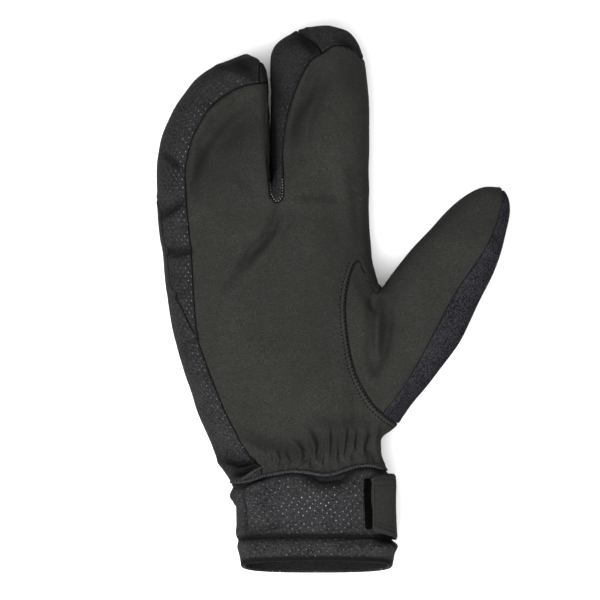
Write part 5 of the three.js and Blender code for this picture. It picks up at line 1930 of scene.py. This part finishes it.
def trim(name, path, surfaces, radius, fabric, lift=0.0):
    """A cord or folded edge laid along a line on the fabric."""
    parts = []
    for found in on_surface(spaced(path, 0.35), surfaces, lift):
        size = radius * np.clip(np.sin(np.linspace(0.2, math.pi - 0.2, len(found))) * 3, 0, 1)
        parts.append(tube(found[:, :3], found[:, 3:], size))
    finished_piece(name, *joined(parts), fabric, [])


# Lines of the trims and stitches, seen from above
WELT_LINE = ((47.6, 18.6), (50.2, 14.2), (53.0, 9.4), (55.6, 4.9), (56.6, 4.2), (58.2, 5.6))
TAB_EDGE_LINE = ((54.2, -88.6), (53.6, -90.5), (53.6, -112.0), (55.2, -115.6))
PATCH_EDGE_LINE = ((49.8, -92.0), (49.6, -100.0), (49.9, -112.5))
CUFF_SIDE_LINE = ((-9.5, -93.5), (-9.5, -100.0), (-8.5, -104.0), (-8.3, -116.0))
TAB_LINES = (
    ((56.0, -89.5), (65.6, -89.5)),
    ((56.0, -92.3), (65.8, -92.3)),
    ((55.6, -93.5), (55.6, -112.0)),
    ((57.6, -110.6), (66.4, -114.0)),
    ((57.2, -112.4), (66.4, -116.2)),
)


class MITT_OT_trims(bpy.types.Operator):
    """Lays the welt in the fork of the thumb and the bound edges of the closure"""

    bl_idname = "mitt.trims"
    bl_label = "Lay welt and edges"

    def execute(self, context):
        hand = ("palm_panel", "thumb_front", "index_gusset")
        trim("thumb_welt", WELT_LINE, hand, 0.55, SUEDE, -0.1)
        trim("tab_edge", spaced(TAB_EDGE_LINE, 1.0), ("closure_tab",), 0.35, BINDING)
        trim("patch_edge", PATCH_EDGE_LINE, ("cuff", "loop_patch"), 0.3, BINDING, 0.1)
        return {"FINISHED"}


# Pitch, length, width and lean of each row of stitches, its thread and the fabric it is in
STITCHES = {
    # the holes' beads are painted shade inside the needle holes
    "thumb_stitch_holes": (1.9, 0.95, 0.9, 0.0, HOLE_SHADE, SUEDE),
    "thumb_stitches": (1.9, 1.9, 0.32, 0.8, THREAD, SUEDE),
    "hem_stitches": (1.7, 1.0, 0.35, 0.7, DARK_THREAD, SOFTSHELL),
    "hem_stitches_back": (1.7, 1.0, 0.35, -0.7, DARK_THREAD, SOFTSHELL),
    "cuff_side_stitches": (1.5, 0.9, 0.3, 0.0, DARK_THREAD, SOFTSHELL),
    "tab_stitches": (1.35, 1.0, 0.5, 0.0, DARK_THREAD, SUEDE),
    "crotch_stitches": (1.4, 0.7, 0.5, 0.0, PALE_THREAD, SOFTSHELL),
}
HEM_ROW_POINTS = 700


def hem_row(drop):
    """A line round the cuff on its fabric, this far below the middle of the hem's stitches."""
    down = np.full(HEM_ROW_POINTS, HEM_STITCH_DOWN + drop / CUFF_LENGTH)
    angle = np.linspace(0, 2 * math.pi, HEM_ROW_POINTS)
    place, out = cuff_place(down, angle)
    place[:, 1] += wave_on_cuff(place[:, 0], down)
    height = cuff_relief(place, out, down, angle)
    return np.hstack([place + out * (height[:, None] + 0.05), out])


def thumb_line():
    """The thumb's seam on the palm side, from its highest point down to the wrist."""
    thumb = THUMB_SEAM_FRONT.path()
    start = int(np.argmin(np.abs(thumb[:, 1] - 17.0) + (thumb[:, 0] > 52) * 50))
    return spaced(thumb[start:], 0.5)


class MITT_OT_stitches(bpy.types.Operator):
    """Sews the stitches along the seams"""

    bl_idname = "mitt.stitches"
    bl_label = "Sew stitches"

    def execute(self, context):
        thumb = thumb_line()
        palm = ("palm_panel", "thumb_front", "outer_gusset")
        near, middle, far = (
            on_surface(sideways(thumb, -away), palm, lift)
            for away, lift in ((0.95, 0.02), (1.85, 0.05), (2.8, 0.02))
        )
        tab = []
        for line in TAB_LINES:
            tab += on_surface(spaced(line, 0.4), ("closure_tab",), 0.02)
        crotch = PALM_SEAM_SPLIT.path()
        crotch = spaced(sideways(crotch[crotch[:, 1] < 60.0], 0.6), 0.3)
        runs = {
            "thumb_stitch_holes": near + far,
            "thumb_stitches": middle,
            "hem_stitches": [hem_row(-0.7)],
            "hem_stitches_back": [hem_row(0.7)],
            "cuff_side_stitches": on_surface(spaced(CUFF_SIDE_LINE, 0.5), ("cuff",), 0.03),
            "tab_stitches": tab,
            "crotch_stitches": on_surface(crotch, ("palm_panel", "split_gusset"), 0.05),
        }
        tree = stitch_tree()
        for name, sewn in STITCHES.items():
            stitches(tree, name, runs[name], *sewn)
        return {"FINISHED"}


# The stage is in metres. A light is its name, its place, its size and its power in watts.
FLOOR_HALF_MM = 3000
FLOOR_BELOW_MM = 0.3
FLOOR_COLOUR = "#f8f8f8"
LIGHTS = (
    ("key", (-0.5, -0.68, 1.05), 1.3, 27.0),
    ("fill", (0.0, -0.1, 1.5), 1.8, 50.0),
)
WORLD_STRENGTH = 0.02
CAMERA_DISTANCE = 2.5
VIEW_WIDTH = 0.3
VIEW_CENTRE = (0.0185, 0.0, 0.02)
SENSOR_MM = 36.0


class MITT_OT_stage(bpy.types.Operator):
    """Makes the floor, the soft lights and the camera straight above"""

    bl_idname = "mitt.stage"
    bl_label = "Build stage"

    def execute(self, context):
        scene = context.scene
        corners = ((-1, -1), (1, -1), (1, 1), (-1, 1))
        points = [(x * FLOOR_HALF_MM, y * FLOOR_HALF_MM, -FLOOR_BELOW_MM) for x, y in corners]
        floor = mesh_object("floor", points, [(0, 1, 2, 3)])
        tree = new_material("Matt white paper")
        wanted = {"Base Color": hex_linear(FLOOR_COLOUR), "Roughness": 0.9}
        wanted["Specular IOR Level"] = 0.1
        shader = add_node(tree, "ShaderNodeBsdfPrincipled", wanted)
        add_node(tree, "ShaderNodeOutputMaterial", {"Surface": shader.outputs["BSDF"]})
        floor.data.materials.append(bpy.data.materials["Matt white paper"])
        for name, place, size, watts in LIGHTS:
            data = bpy.data.lights.new(name, "AREA")
            data.shape = "SQUARE"
            data.size = size
            data.energy = watts
            lamp = bpy.data.objects.new(name, data)
            lamp.location = place
            lamp.rotation_euler = (-Vector(place)).to_track_quat("-Z", "Y").to_euler()
            scene.collection.objects.link(lamp)
        world = bpy.data.worlds.new("Studio")
        world.use_nodes = True
        background = world.node_tree.nodes["Background"]
        background.inputs["Color"].default_value = (1, 1, 1, 1)
        background.inputs["Strength"].default_value = WORLD_STRENGTH
        scene.world = world
        data = bpy.data.cameras.new("camera")
        data.sensor_width = SENSOR_MM
        data.lens = SENSOR_MM * CAMERA_DISTANCE / VIEW_WIDTH
        data.clip_end = 20.0
        camera = bpy.data.objects.new("camera", data)
        camera.location = Vector(VIEW_CENTRE) + Vector((0, 0, CAMERA_DISTANCE))
        scene.collection.objects.link(camera)
        scene.camera = camera
        scene.view_settings.view_transform = "Standard"
        return {"FINISHED"}


STEPS = ("materials", "hand", "cuff", "wrist_seam", "closure", "trims", "stitches", "stage")


class MITT_PT_panel(bpy.types.Panel):
    """Lists the steps that build the mitt"""

    bl_label = "Lobster claw mitt"
    bl_idname = "MITT_PT_panel"
    bl_space_type = "VIEW_3D"
    bl_region_type = "UI"
    bl_category = "Mitt"

    def draw(self, context):
        for name in MittSettings.__annotations__:
            self.layout.prop(context.scene.mitt, name)
        for step in STEPS:
            self.layout.operator("mitt." + step)


CLASSES = (
    MittSettings,
    MITT_OT_materials,
    MITT_OT_hand,
    MITT_OT_cuff,
    MITT_OT_wrist_seam,
    MITT_OT_closure,
    MITT_OT_trims,
    MITT_OT_stitches,
    MITT_OT_stage,
    MITT_PT_panel,
)


def register():
    for made in CLASSES:
        bpy.utils.register_class(made)
    bpy.types.Scene.mitt = bpy.props.PointerProperty(type=MittSettings)


def unregister():
    del bpy.types.Scene.mitt
    for made in reversed(CLASSES):
        bpy.utils.unregister_class(made)


def main():
    register()
    for step in STEPS:
        getattr(bpy.ops.mitt, step)()


if __name__ == "__main__":
    main()
